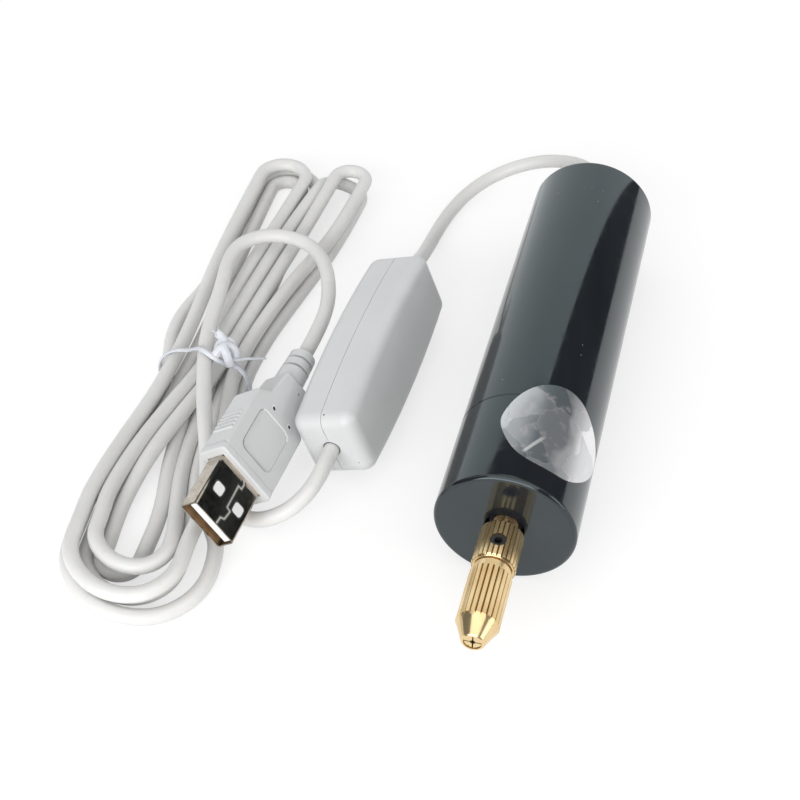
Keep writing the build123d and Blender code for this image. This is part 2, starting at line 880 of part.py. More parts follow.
with BuildPart() as plug_overmould:
    neck_start = mould_length + shoulder_length
    neck_end = neck_start + neck_length
    with BuildSketch(plug_plane):
        with BuildLine():
            half_outline = [
                (-collar_length, mould_radius), (-mould_length, mould_radius),
                (-neck_start, neck_width / 2), (-neck_end, neck_end_width / 2),
            ]
            Polyline(*half_outline, *[(x, -y) for x, y in half_outline[::-1]], close=True)
        make_face()
    extrude(amount=mould_thickness / 2, both=True)
    fillet(plug_overmould.edges().filter_by(Axis(plug_plane.origin, plug_plane.z_dir)),
           radius=mould_edge)
    broad_faces = plug_overmould.faces().filter_by(plug_plane)
    fillet(broad_faces.edges(), radius=mould_rounding)
    with BuildSketch(plug_end.offset(-collar_length)):
        RectangleRounded(
            mould_width + 2 * collar_step, mould_thickness + 2 * collar_step, mould_edge)
    extrude(amount=collar_length)
    front_face = plug_overmould.faces().sort_by(Axis(plug_plane.origin, plug_plane.x_dir))[-1]
    fillet(front_face.edges(), radius=collar_rounding)
    plug_profile([
        (neck_start, 0),
        (neck_start, relief_start_diameter / 2),
        (neck_end, relief_start_diameter / 2),
        (plug_length, relief_end_diameter / 2),
        (plug_length, 0),
    ])
    groove_floor = relief_end_diameter / 2 - relief_groove_depth
    for groove in range(relief_groove_count):
        groove_start = plug_length - relief_end_ring - groove * relief_groove_pitch
        plug_profile([
            (groove_start - relief_groove_width, groove_floor),
            (groove_start - relief_groove_width, mould_radius),
            (groove_start, mould_radius),
            (groove_start, groove_floor),
        ], mode=Mode.SUBTRACT)
    with BuildSketch(plug_plane.offset(mould_thickness / 2 - panel_depth)):
        with Locations((-panel_inset - panel_length / 2, 0)):
            RectangleRounded(panel_length, panel_width, panel_corner)
    extrude(amount=panel_depth * 2, mode=Mode.SUBTRACT)
    for side in (1, -1):
        for grip in range(grip_count):
            with BuildSketch(plug_plane.offset(-grip_length / 2)):
                with Locations((-grip_inset - grip * grip_pitch, side * mould_radius)):
                    Rectangle(grip_width, 2 * grip_height)
            extrude(amount=grip_length)
    with BuildSketch(plug_end):
        Rectangle(shell_width + 2 * shell_gap, shell_height + 2 * shell_gap)
    extrude(amount=-shell_seat - shell_gap, mode=Mode.SUBTRACT)
finish(plug_overmould, "plug_overmould")

with BuildPart() as plug_shell:
    with BuildSketch(plug_end.offset(-shell_seat)):
        RectangleRounded(shell_width, shell_height, shell_corner)
        RectangleRounded(
            shell_width - 2 * shell_wall, shell_height - 2 * shell_wall,
            shell_corner - shell_wall, mode=Mode.SUBTRACT)
    extrude(amount=shell_seat + shell_length)
    with BuildSketch(plug_plane):
        with Locations((shell_length - shell_hole_distance, 0)):
            with GridLocations(0, shell_hole_spacing, 1, 2):
                Rectangle(shell_hole, shell_hole)
    extrude(amount=shell_height, both=True, mode=Mode.SUBTRACT)
finish(plug_shell, "plug_shell")

tongue_width = shell_width - 2 * shell_wall - 2 * part_gap
tongue_top = shell_height / 2 - shell_wall - part_gap
tongue_bottom = tongue_top - tongue_thickness

with BuildPart() as plug_tongue:
    with BuildSketch(plug_plane.offset(tongue_bottom)):
        with Locations(((shell_length - tongue_recess - shell_seat) / 2, 0)):
            Rectangle(shell_length - tongue_recess + shell_seat, tongue_width - shell_corner)
    extrude(amount=tongue_thickness)
    with BuildSketch(plug_plane.offset(-tongue_top)):
        with Locations((-shell_seat / 2, 0)):
            Rectangle(shell_seat, tongue_width - shell_corner)
    extrude(amount=2 * tongue_top)
finish(plug_tongue, "plug_tongue")

with BuildPart() as plug_contacts:
    with BuildSketch(plug_plane.offset(tongue_bottom - part_gap)):
        with Locations((shell_length - tongue_recess - contact_length / 2 - contact_width, 0)):
            with GridLocations(0, contact_pitch, 1, contact_count):
                Rectangle(contact_length, contact_width)
    extrude(amount=-contact_thickness)
finish(plug_contacts, "plug_contacts")


# The lead's free stretches

def cord_tube(name, route):
    """A round tube along a hand-laid route; its arcs and volume are printed."""
    radii = cord_radii(route)
    with BuildPart() as tube:
        path = sweep_round(route, radii, cord_diameter)
    expected = math.pi * cord_radius ** 2 * path.length
    print(name, "length", round(path.length, 1), "radii", [round(radius, 1) for radius in radii])
    print(name, "volume share", round(tube.part.volume / expected, 4))
    finish(tube, name)


drill_exit = (0, disc_y + boot_end, axis_height)
box_far_hole = box_plane.from_local_coords((half_length - cord_in_box, 0, 0))
box_near_hole = box_plane.from_local_coords((-half_length + cord_in_box, 0, 0))
box_far_run = box_plane.from_local_coords((half_length + cord_in_box * 4, 0, 0))
box_near_run = box_plane.from_local_coords((-half_length - cord_in_box * 2, 0, 0))
hank_start = (hank_start_x, hank_start_y, cord_radius)
hank_start_run = (hank_start_x, hank_start_y - 1.4 * cord_diameter, cord_radius)
upper_layer = cord_radius + cord_diameter + cord_gap
hank_end = (
    upper_bottom_x + upper_bottom_radii[-1], upper_bottom_y + cord_diameter, upper_layer)
tail_end_run = (hank_end[0], hank_end[1] + 2 * cord_diameter, upper_layer)

cord_tube("cord_drill_to_box", [
    drill_exit,
    (0, 76.4, axis_height),
    (-2.4, 81.8, 13.7),
    (-7.6, 85.8, 12.6),
    (-14.6, 88.0, 10.6),
    (-21.9, 87.9, 7.8),
    (-28.6, 85.3, 4.9),
    (-33.5, 80.1, 2.7),
    (-36.3, 72.9, 1.75),
    (-37.6, 64.6, 1.75),
    (-37.9, 56.2, 2.9),
    (-37.5, 47.6, 6.2),
    box_far_run,
    box_far_hole,
])

cord_tube("cord_box_to_hank", [
    box_near_hole,
    box_near_run,
    (-39.6, -30.0, 9.0),
    (-41.1, -34.3, 7.5),
    (-44.4, -37.7, 5.3),
    (-49.1, -39.2, 3.2),
    (-54.0, -38.2, 1.8),
    (-58.1, -34.5, cord_radius),
    hank_start_run,
    hank_start,
])

cord_tube("cord_plug_tail", [
    lead_end(plug_length),
    lead_end(plug_length + 8.6),
    (-51.9, 17.5, 12.1),
    (-54.0, 25.6, 11.6),
    (-57.0, 32.6, 10.9),
    (-61.0, 38.4, 10.3),
    (-65.7, 41.5, 9.9),
    (-71.3, 42.1, 9.8),
    (-76.5, 40.0, 9.8),
    (-80.2, 35.7, 9.8),
    (-81.3, 30.2, 9.8),
    (-81.1, 22.8, 9.9),
    (-79.8, 14.6, 10.0),
    (-77.5, 4.4, 10.0),
    (-74.8, -4.4, 10.0),
    (-71.9, -12.2, 10.1),
    (-68.7, -19.3, 10.0),
    (-65.3, -26.1, 9.4),
    (-62.2, -33.2, 7.8),
    tail_end_run,
    hank_end,
])

# Hank: five loops in two layers, drawn in at the tied waist


def half_run(start, end):
    """Two arcs that leave and arrive along the hank, side by side or climbing."""
    start, end = Vector(*start), Vector(*end)
    middle = (start + end) / 2
    heading = Vector(0, math.copysign(1, end.Y - start.Y), 0)
    TangentArc(start, middle, tangent=heading)
    TangentArc(middle, end, tangent=-heading, tangent_from_first=False)


def bend(centre_x, centre_y, radius, height, side):
    """A half turn over the top of the hank (side 1) or round its foot (side -1)."""
    ThreePointArc(
        (centre_x + side * radius, centre_y, height),
        (centre_x, centre_y + side * radius, height),
        (centre_x - side * radius, centre_y, height),
    )


lower_layer = cord_radius
tops = [(lobe_x, lobe_y, radius, lower_layer) for radius in lobe_radii]
tops += [(upper_lobe_x, upper_lobe_y, radius, upper_layer) for radius in upper_lobe_radii]
foots = [(bottom_x, bottom_y, radius, lower_layer) for radius in bottom_radii]
foots += [(upper_bottom_x, upper_bottom_y, radius, upper_layer) for radius in upper_bottom_radii]
right_slots = (2.5, 1.5, 0.5, 0.5, 1.5)
left_slots = (2.5, 1.5, 0.5, 1.5, 2.5)

with BuildPart() as cord_hank:
    with BuildLine() as hank_path:
        rising = (hank_start_x, hank_start_y + cord_diameter, lower_layer)
        Line(hank_start, rising)
        for loop, (top, foot) in enumerate(zip(tops, foots)):
            waist_level = top[3] + waist_lift
            right_waist = (waist_x + right_slots[loop] * waist_step, waist_y, waist_level)
            left_waist = (waist_x - left_slots[loop] * waist_step, waist_y, waist_level)
            half_run(rising, right_waist)
            half_run(right_waist, (top[0] + top[2], top[1], top[3]))
            bend(*top, 1)
            half_run((top[0] - top[2], top[1], top[3]), left_waist)
            half_run(left_waist, (foot[0] - foot[2], foot[1], foot[3]))
            bend(*foot, -1)
            rising = (foot[0] + foot[2], foot[1], foot[3])
        Line(rising, hank_end)
    with BuildSketch(Plane(origin=hank_start, z_dir=(0, 1, 0))):
        Circle(cord_radius)
    sweep(path=hank_path.wires()[0])
finish(cord_hank, "cord_hank")


def least_gap(wire, diameter, spacing):
    """The least gap between stretches of one tube, measured on points along it."""
    count = int(wire.length / spacing)
    points = np.array([tuple(wire @ (step / count)) for step in range(count + 1)])
    apart = int(math.pi * diameter / spacing)
    least = math.inf
    for step in range(count - apart):
        reach = np.linalg.norm(points[step + apart:] - points[step], axis=1)
        least = min(least, reach.min())
    return least - diameter


hank_wire = hank_path.wires()[0]
hank_volume = math.pi * cord_radius ** 2 * hank_wire.length
print("cord_hank length", round(hank_wire.length, 1))
print("cord_hank volume share", round(cord_hank.part.volume / hank_volume, 4))
print("cord_hank least gap", round(least_gap(hank_wire, cord_diameter, cord_gap), 2))

# Twist tie round the waist, over the plug's tail

tie_plane = Plane(
    origin=(waist_x, waist_y + tie_width / 2, 0), x_dir=(1, 0, 0), z_dir=(0, -1, 0))
tie_half = max(right_slots) * waist_step + cord_radius + tie_slack
tie_inner_floor = tie_rest + tie_thickness
lower_top = lower_layer + waist_lift + cord_radius
upper_top = upper_layer + waist_lift + cord_radius
tail_top = upper_top + cord_diameter + cord_gap + tie_slack
left_crown = tie_half - max(left_slots) * waist_step / 4 * 3
right_crown = tie_half / 4
tie_shoulder = tie_half - waist_step * 3 / 4

with BuildPart() as hank_tie:
    with BuildSketch(tie_plane):
        with BuildLine():
            FilletPolyline(
                (-tie_half, tie_inner_floor),
                (tie_half, tie_inner_floor),
                (tie_half, lower_top - tie_slack),
                (tie_shoulder, upper_top),
                (right_crown, tail_top),
                (-left_crown, tail_top),
                (-tie_half, upper_top),
                radius=tie_corner, close=True,
            )
        inside = make_face()
        offset(amount=tie_thickness)
        add(inside, mode=Mode.SUBTRACT)
    extrude(amount=tie_width)
    with BuildSketch(Plane.XY.offset(tail_top + tie_thickness / 2)):
        with Locations((waist_x - left_crown / 2, waist_y)):
            RectangleRounded(knot_width, knot_length, knot_rounding)
    extrude(amount=knot_height)
finish(hank_tie, "hank_tie")
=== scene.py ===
"""The looks of the mini drill: camera, light, floor, the lead's cords, and every finish.

Metres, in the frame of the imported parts: +Z up, +Y to the drill's rear, the table at z 0.
"""

import json
import math

import bmesh
import bpy
from mathutils import Matrix, Vector


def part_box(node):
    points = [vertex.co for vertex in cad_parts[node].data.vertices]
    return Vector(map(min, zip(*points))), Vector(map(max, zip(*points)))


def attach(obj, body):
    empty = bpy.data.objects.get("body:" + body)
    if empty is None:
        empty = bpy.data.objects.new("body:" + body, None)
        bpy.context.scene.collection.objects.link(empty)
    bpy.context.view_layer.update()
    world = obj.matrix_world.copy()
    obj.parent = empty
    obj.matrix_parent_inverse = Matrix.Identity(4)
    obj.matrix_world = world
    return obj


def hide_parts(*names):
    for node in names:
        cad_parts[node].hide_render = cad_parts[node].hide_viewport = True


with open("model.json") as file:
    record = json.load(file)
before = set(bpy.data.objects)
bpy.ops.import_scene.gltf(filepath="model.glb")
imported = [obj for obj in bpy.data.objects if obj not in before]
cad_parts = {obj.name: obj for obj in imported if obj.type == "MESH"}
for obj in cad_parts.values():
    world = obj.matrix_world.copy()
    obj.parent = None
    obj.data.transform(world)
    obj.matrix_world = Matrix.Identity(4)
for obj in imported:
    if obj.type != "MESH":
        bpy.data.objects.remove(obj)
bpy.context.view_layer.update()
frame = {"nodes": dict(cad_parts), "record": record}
nodes = frame["nodes"]

MM = 0.001
CORD_RADIUS = 1.65 * MM

tube_low, tube_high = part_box("main_tube")
AXIS_HEIGHT = ((tube_low + tube_high) / 2).z
TUBE_RADIUS = (tube_high - tube_low).x / 2


# Camera, worked out from the drill and the box in the photograph

SENSOR_WIDTH, LENS_LENGTH = 36.0, 65.2
CAMERA_PLACE = (0.0267, -0.2170, 0.2246)
CAMERA_DIP, CAMERA_TURN = 44.41, 14.77


def place_camera():
    """The photograph's view: from the nose end, above and a little to the right."""
    lens = bpy.data.cameras.new("view")
    lens.sensor_width = SENSOR_WIDTH
    lens.lens = LENS_LENGTH
    camera = bpy.data.objects.new("view", lens)
    camera.location = CAMERA_PLACE
    camera.rotation_euler = (math.radians(90 - CAMERA_DIP), 0, math.radians(CAMERA_TURN))
    bpy.context.collection.objects.link(camera)
    bpy.context.scene.camera = camera


place_camera()


# Node-tree helpers

# Where a colour Mix node has its share, its two colours and its result
MIX_SHARE, MIX_FIRST, MIX_SECOND, MIX_RESULT = 0, 6, 7, 2
NOISE_ROUGHNESS = 0.55


def new_finish(name, colour, roughness, metallic=0.0, **constants):
    """A Principled material with its constants set on its own sockets."""
    material = bpy.data.materials.new(name)
    material.use_nodes = True
    tree = material.node_tree
    shader = tree.nodes["Principled BSDF"]
    shader.inputs["Base Color"].default_value = (*colour, 1)
    shader.inputs["Roughness"].default_value = roughness
    shader.inputs["Metallic"].default_value = metallic
    for socket, value in constants.items():
        shader.inputs[socket.replace("_", " ")].default_value = value
    return material, tree, shader


def add_node(tree, kind, inputs=None, **settings):
    """A node with its settings made and its inputs set or linked."""
    node = tree.nodes.new(kind)
    for key, value in settings.items():
        setattr(node, key, value)
    for key, value in (inputs or {}).items():
        if isinstance(value, bpy.types.NodeSocket):
            tree.links.new(value, node.inputs[key])
        else:
            node.inputs[key].default_value = value
    return node


def object_point(tree, stretch=(1, 1, 1), centre=(0, 0, 0), turn=(0, 0, 0)):
    """Object coordinates, moved to a centre, turned and stretched."""
    source = add_node(tree, "ShaderNodeTexCoord").outputs["Object"]
    moved = add_node(tree, "ShaderNodeVectorMath",
                     {0: source, 1: tuple(-value for value in centre)}, operation="ADD")
    return add_node(tree, "ShaderNodeMapping", {
        "Vector": moved.outputs[0], "Rotation": turn, "Scale": stretch,
    }).outputs["Vector"]


def noise(tree, point, scale, detail=3.0, distortion=0.0):
    """Noise from 0 to 1 at a point."""
    return add_node(tree, "ShaderNodeTexNoise", {
        "Vector": point, "Scale": scale, "Detail": detail,
        "Roughness": NOISE_ROUGHNESS, "Distortion": distortion,
    }).outputs["Fac"]


def spread(tree, value, low, high, to_low, to_high):
    """A value's band stretched over another, and held at its ends."""
    return add_node(tree, "ShaderNodeMapRange", {
        "Value": value, "From Min": low, "From Max": high,
        "To Min": to_low, "To Max": to_high,
    }).outputs["Result"]


def math_node(tree, operation, first, second=0.0):
    """The result of one sum on one or two values."""
    return add_node(tree, "ShaderNodeMath", {0: first, 1: second},
                    operation=operation).outputs[0]


def two_colours(tree, share, first, second):
    """One colour run into another by a share from 0 to 1."""
    mix = add_node(tree, "ShaderNodeMix", data_type="RGBA")
    for index, value in ((MIX_SHARE, share), (MIX_FIRST, first), (MIX_SECOND, second)):
        if isinstance(value, bpy.types.NodeSocket):
            tree.links.new(value, mix.inputs[index])
        else:
            mix.inputs[index].default_value = value if index == MIX_SHARE else (*value, 1)
    return mix.outputs[MIX_RESULT]


def relief(tree, shader, height, distance, strength=1.0, under=None):
    """A bump laid on the shader's normal, over an earlier one if given."""
    bump = add_node(tree, "ShaderNodeBump", {
        "Height": height, "Distance": distance, "Strength": strength})
    if under is not None:
        tree.links.new(under, bump.inputs["Normal"])
    tree.links.new(bump.outputs["Normal"], shader.inputs["Normal"])
    return bump.outputs["Normal"]


def colour_by(tree, shader, output):
    tree.links.new(output, shader.inputs["Base Color"])


def roughness_by(tree, shader, output):
    tree.links.new(output, shader.inputs["Roughness"])


# Finishes

def moulded(name, light, dark, roughness, grain, grain_depth, mottle=90.0):
    """Moulded plastic: faint mottling, an uneven sheen and a fine eroded grain."""
    material, tree, shader = new_finish(name, light, roughness)
    point = object_point(tree)
    patches = spread(tree, noise(tree, point, mottle, 4.0), 0.35, 0.65, 0, 1)
    colour_by(tree, shader, two_colours(tree, patches, light, dark))
    sheen = noise(tree, point, mottle * 6, 3.0)
    roughness_by(tree, shader, spread(tree, sheen, 0.3, 0.7, roughness * 0.92, roughness * 1.1))
    relief(tree, shader, noise(tree, point, grain, 2.0), grain_depth, 0.1)
    return material


def glossy_black():
    """The tube's near-black gloss, with flow marks, fine scratches and a faint swell."""
    material, tree, shader = new_finish(
        "tube_gloss_black", (0.014, 0.015, 0.019), 0.1, IOR=1.63,
        Specular_Tint=(0.80, 0.97, 1, 1))
    point = object_point(tree, centre=(0, 0, AXIS_HEIGHT))
    flow = noise(tree, object_point(tree, (1, 0.25, 1)), 60, 4.0, distortion=0.6)
    colour_by(tree, shader, two_colours(
        tree, spread(tree, flow, 0.35, 0.65, 0, 1), (0.011, 0.012, 0.015), (0.018, 0.019, 0.023)))
    haze = spread(tree, noise(tree, point, 240, 5.0), 0.3, 0.75, 0.07, 0.17)
    scratches = add_node(tree, "ShaderNodeTexVoronoi", {
        "Vector": object_point(tree, (40, 900, 40), turn=(0.3, 0.2, 0.9)), "Scale": 1.0,
    }, feature="DISTANCE_TO_EDGE").outputs["Distance"]
    worn = spread(tree, scratches, 0.0, 0.012, 0.12, 0.0)
    roughness_by(tree, shader, math_node(tree, "ADD", haze, worn))
    swell = noise(tree, point, 130, 2.0)
    relief(tree, shader, swell, 0.00002, 0.25)
    return material


# How fast the tool marks' sine turns along the metal, in radians for each metre
TOOL_MARK_RATE = 9000.0
GROOVE_SHADE = (0.20, 0.11, 0.04)


def turned_metal(name, light, dark, roughness, metallic=1.0, grooves=()):
    """Metal turned about the drill's axis: rings of tool marks, tarnish, painted shade on groove
    floors.
    """
    material, tree, shader = new_finish(name, light, roughness, metallic=metallic)
    point = object_point(tree, centre=(0, 0, AXIS_HEIGHT))
    parts = add_node(tree, "ShaderNodeSeparateXYZ", {"Vector": point})
    off_x, off_z = parts.outputs["X"], parts.outputs["Z"]
    reach = math_node(tree, "SQRT", math_node(
        tree, "ADD", math_node(tree, "MULTIPLY", off_x, off_x),
        math_node(tree, "MULTIPLY", off_z, off_z)))
    along = math_node(tree, "ADD", reach, parts.outputs["Y"])
    rings = math_node(tree, "SINE", math_node(tree, "MULTIPLY", along, TOOL_MARK_RATE))
    tarnish = spread(tree, noise(tree, point, 130, 2.0), 0.35, 0.7, 0, 1)
    colour = two_colours(tree, tarnish, light, dark)
    # Painted shade on each groove's floor, fading out towards the rib crests
    for start, end, floor, crest in grooves:
        inside = math_node(tree, "MULTIPLY",
                           math_node(tree, "GREATER_THAN", parts.outputs["Y"], start * MM),
                           math_node(tree, "LESS_THAN", parts.outputs["Y"], end * MM))
        depth = spread(tree, reach, floor * MM, crest * MM, 0.85, 0.0)
        colour = two_colours(tree, math_node(tree, "MULTIPLY", inside, depth), colour,
                             GROOVE_SHADE)
    colour_by(tree, shader, colour)
    roughness_by(tree, shader, spread(
        tree, noise(tree, point, 300, 2.0), 0.3, 0.7, roughness * 0.85, roughness * 1.2))
    relief(tree, shader, rings, 0.000003, 0.2)
    return material


def sheet_metal(name, light, dark, roughness, grain=(1, 1, 1), wear=160.0, speckle=0.0):
    """Plated or drawn sheet: a directional grain, stains, and pits where it has any."""
    material, tree, shader = new_finish(name, light, roughness, metallic=1.0)
    point = object_point(tree)
    brushed = noise(tree, object_point(tree, grain), 900, 3.0)
    stains = spread(tree, noise(tree, point, wear, 5.0), 0.35, 0.7, 0, 1)
    colour = two_colours(tree, stains, light, dark)
    if speckle:
        pits = spread(tree, noise(tree, point, 1700, 2.0), 0.62, 0.7, 0, speckle)
        colour = two_colours(tree, pits, colour, tuple(value * 0.35 for value in dark))
    colour_by(tree, shader, colour)
    roughness_by(tree, shader, spread(
        tree, brushed, 0.3, 0.7, roughness * 0.7, roughness * 1.5))
    relief(tree, shader, brushed, 0.000006, 0.3)
    return material


def dull(name, light, dark, roughness, scale, depth, metallic=0.0):
    """A dull, granular surface such as ferrite, carbon or sintered bronze."""
    material, tree, shader = new_finish(name, light, roughness, metallic=metallic)
    point = object_point(tree)
    grains = noise(tree, point, scale, 5.0)
    colour_by(tree, shader, two_colours(
        tree, spread(tree, grains, 0.35, 0.65, 0, 1), light, dark))
    roughness_by(tree, shader, spread(
        tree, grains, 0.3, 0.7, roughness * 0.85, min(1, roughness * 1.2)))
    relief(tree, shader, grains, depth, 0.5)
    return material


def layered(name, light, dark, roughness, pitch, depth):
    """Laminations or windings: metal in close lines square to the drill's axis."""
    material, tree, shader = new_finish(name, light, roughness, metallic=1.0)
    point = object_point(tree)
    place = add_node(tree, "ShaderNodeSeparateXYZ", {"Vector": point}).outputs["Y"]
    wave = math_node(tree, "SINE", math_node(tree, "MULTIPLY", place, 2 * math.pi / pitch))
    lines = spread(tree, wave, -1, 1, 0, 1)
    worn = noise(tree, point, 300, 4.0)
    shade = two_colours(tree, lines, dark, light)
    colour_by(tree, shader, two_colours(tree, spread(tree, worn, 0.5, 0.8, 0, 0.5), shade, dark))
    roughness_by(tree, shader, spread(tree, worn, 0.3, 0.7, roughness * 0.8, roughness * 1.3))
    relief(tree, shader, lines, depth, 0.6)
    return material


def cord_jacket():
    """The lead's soft jacket: warm grey, satin, with faint drag marks and handling dirt."""
    material, tree, shader = new_finish(
        "cord_jacket", (0.70, 0.695, 0.68), 0.34, Subsurface_Weight=0.06,
        Subsurface_Scale=0.0015, Specular_IOR_Level=0.45)
    point = object_point(tree)
    patches = spread(tree, noise(tree, point, 45, 5.0), 0.38, 0.68, 0, 1)
    clean = two_colours(tree, patches, (0.75, 0.747, 0.735), (0.69, 0.685, 0.67))
    dirt = spread(tree, noise(tree, point, 420, 4.0, distortion=0.8), 0.6, 0.78, 0, 0.35)
    colour_by(tree, shader, two_colours(tree, dirt, clean, (0.57, 0.56, 0.535)))
    roughness_by(tree, shader, spread(tree, noise(tree, point, 600, 3.0), 0.3, 0.7, 0.28, 0.46))
    relief(tree, shader, noise(tree, point, 1500, 2.0), 0.00003, 0.3)
    return material


# The foil's facets and tints, and the middle of its one long fold, which runs from
# (1.4, -30.1) to (4.4, -25.2) mm
FACET_SCALE, TINT_SCALE, FACET_WARP = 105.0, 420, 0.007
FOLD_MIDDLE, FOLD_TURN = (0.0029, -0.0277, 0), math.radians(-59)


def crumpled_foil():
    """Silver foil over the seam: broad facets of painted reflection, pale and grey, painted shade
    across it, painted highlights on sharp creases, a faint rainbow.
    """
    material, tree, shader = new_finish(
        "sticker_foil", (0.80, 0.82, 0.84), 0.3, metallic=0.7)
    point = object_point(tree)
    bent = add_node(tree, "ShaderNodeTexNoise", {"Vector": point, "Scale": 120.0})
    warped = add_node(tree, "ShaderNodeVectorMath", {
        0: bent.outputs["Color"], 1: (FACET_WARP, FACET_WARP, FACET_WARP), 2: point,
    }, operation="MULTIPLY_ADD").outputs[0]
    cells = add_node(tree, "ShaderNodeTexVoronoi", {"Vector": warped, "Scale": FACET_SCALE})
    facet = add_node(tree, "ShaderNodeSeparateColor", {0: cells.outputs["Color"]}).outputs[0]

    # Painted shade darkens the foil to the right of its middle, a painted highlight pales it again
    # at its right edge, and each facet takes its own tone of painted reflection
    place = add_node(tree, "ShaderNodeSeparateXYZ", {"Vector": warped})
    across = spread(tree, place.outputs["X"], 0.0025, 0.0065, 0.0, 1.0)
    edge = spread(tree, place.outputs["X"], 0.0112, 0.0126, 0.0, 0.75)
    shade = math_node(tree, "SUBTRACT", math_node(tree, "ADD", math_node(
        tree, "MULTIPLY", across, 0.5), math_node(tree, "MULTIPLY", facet, 0.6)), edge)
    silver = two_colours(tree, shade, (0.84, 0.84, 0.85), (0.22, 0.25, 0.27))

    hue = noise(tree, point, TINT_SCALE, 2.0)
    tint = add_node(tree, "ShaderNodeValToRGB", {"Fac": hue})
    ramp = tint.color_ramp
    ramp.elements[0].position, ramp.elements[0].color = 0.32, (0.55, 0.86, 0.90, 1)
    ramp.elements[1].position, ramp.elements[1].color = 0.68, (0.95, 0.80, 0.84, 1)
    ramp.elements.new(0.5).color = (0.90, 0.90, 0.86, 1)
    rainbow = spread(tree, hue, 0.56, 0.68, 0.0, 0.35)
    silver = two_colours(tree, rainbow, silver, tint.outputs["Color"])

    # Painted highlights along the long fold and the facets' own edges
    flat = add_node(tree, "ShaderNodeSeparateXYZ", {"Vector": object_point(
        tree, centre=FOLD_MIDDLE, turn=(0, 0, FOLD_TURN))})
    aside = math_node(tree, "ABSOLUTE", flat.outputs["Y"])
    ahead = math_node(tree, "ABSOLUTE", flat.outputs["X"])
    fold = math_node(tree, "MULTIPLY", spread(tree, aside, 0.0002, 0.00045, 1, 0),
                     spread(tree, ahead, 0.0024, 0.0034, 1, 0))
    borders = add_node(tree, "ShaderNodeTexVoronoi", {"Vector": warped, "Scale": FACET_SCALE},
                       feature="DISTANCE_TO_EDGE").outputs["Distance"]
    crease_highlight = math_node(tree, "MAXIMUM", fold, spread(tree, borders, 0.0, 0.015, 0.2, 0.0))
    colour_by(tree, shader, two_colours(tree, crease_highlight, silver, (0.97, 0.97, 0.96)))
    roughness_by(tree, shader, spread(tree, facet, 0.0, 1.0, 0.22, 0.42))
    folded = relief(tree, shader, facet, 0.0002, 0.35)
    relief(tree, shader, noise(tree, point, 900, 3.0), 0.00003, 0.3, under=folded)
    return material


# Ribbed lengths of the chuck, with painted shade in their grooves: Y from and to, and the radii of
# the groove floors and crests
RIB_GROOVES = ((-61.2, -49.9, 3.82, 4.05), (-48.1, -39.5, 4.02, 4.25))
BRASS_LIGHT, BRASS_DARK = (0.87, 0.69, 0.40), (0.70, 0.50, 0.25)

# By slot, or a detail's own finish: name, light and dark colour, roughness, the grain's scale
# and depth, and the mottle's scale where it isn't the usual one
MOULDED = {
    "grey_plastic": ("box_grey", (0.655, 0.66, 0.665), (0.625, 0.63, 0.635), 0.3, 2600, 0.00003),
    "tongue_white": (
        "plug_tongue_white", (0.86, 0.86, 0.85), (0.80, 0.80, 0.79), 0.4, 1800, 0.00002),
    "tie_white": ("tie_white", (0.76, 0.78, 0.82), (0.64, 0.67, 0.72), 0.4, 1400, 0.00004, 400),
    "grommet_rubber": (
        "grommet_rubber", (0.030, 0.030, 0.031), (0.020, 0.020, 0.020), 0.6, 1500, 0.00006),
    "bell_plastic": (
        "end_bell_black", (0.055, 0.055, 0.058), (0.035, 0.035, 0.036), 0.5, 1500, 0.00005),
    "chip_black": ("chip_package", (0.03, 0.03, 0.032), (0.02, 0.02, 0.02), 0.55, 3000, 0.00003),
    "board_green": ("board_mask", (0.03, 0.20, 0.09), (0.02, 0.13, 0.06), 0.35, 900, 0.00003),
    "wire_red": ("wire_red", (0.55, 0.04, 0.03), (0.42, 0.03, 0.025), 0.35, 1500, 0.00003),
    "wire_black": ("wire_black", (0.03, 0.03, 0.03), (0.02, 0.02, 0.02), 0.35, 1500, 0.00003),
    "dust": ("dust_grain", (0.72, 0.74, 0.76), (0.55, 0.56, 0.58), 0.7, 4000, 0.00002),
    # Painted shade along the plug's panel edge
    "panel_shadow": ("panel_shadow", (0.22, 0.22, 0.225), (0.18, 0.18, 0.18), 0.5, 3000, 0.00002),
    # Painted shade in the plug's seam and windows, in sink dots and in the box's cord hole gaps
    "seam_dark": ("seam_shadow", (0.035, 0.033, 0.030), (0.02, 0.02, 0.02), 0.6, 4000, 0.00002),
    "seam_pale": ("seam_edge", (0.56, 0.55, 0.50), (0.42, 0.41, 0.37), 0.3, 3000, 0.00002),
    "rim_tan": ("shell_root_tan", (0.58, 0.50, 0.42), (0.42, 0.34, 0.27), 0.3, 2600, 0.00002, 500),
    # Painted shade inside the plug's mouth, tinted brown as a painted reflection of the gold
    # contacts
    "mouth_brown": (
        "mouth_brown", (0.33, 0.20, 0.10), (0.24, 0.14, 0.07), 0.35, 2600, 0.00002, 500),
    # Painted highlights along the plug's panel edge and beside sink dots
    "pale_highlight": ("painted_highlight", (0.86, 0.86, 0.855), (0.80, 0.80, 0.79), 0.3, 3000, 0.00002),
}

# By slot: name, light and dark colour, roughness
SHEET = {
    "terminal_brass": ("terminal_tinned", (0.76, 0.66, 0.42), (0.58, 0.47, 0.28), 0.3),
    "contact_gold": ("contact_gold", (0.90, 0.70, 0.32), (0.75, 0.55, 0.22), 0.2),
    "capacitor_can": ("capacitor_sleeve", (0.66, 0.67, 0.70), (0.55, 0.56, 0.60), 0.25),
}

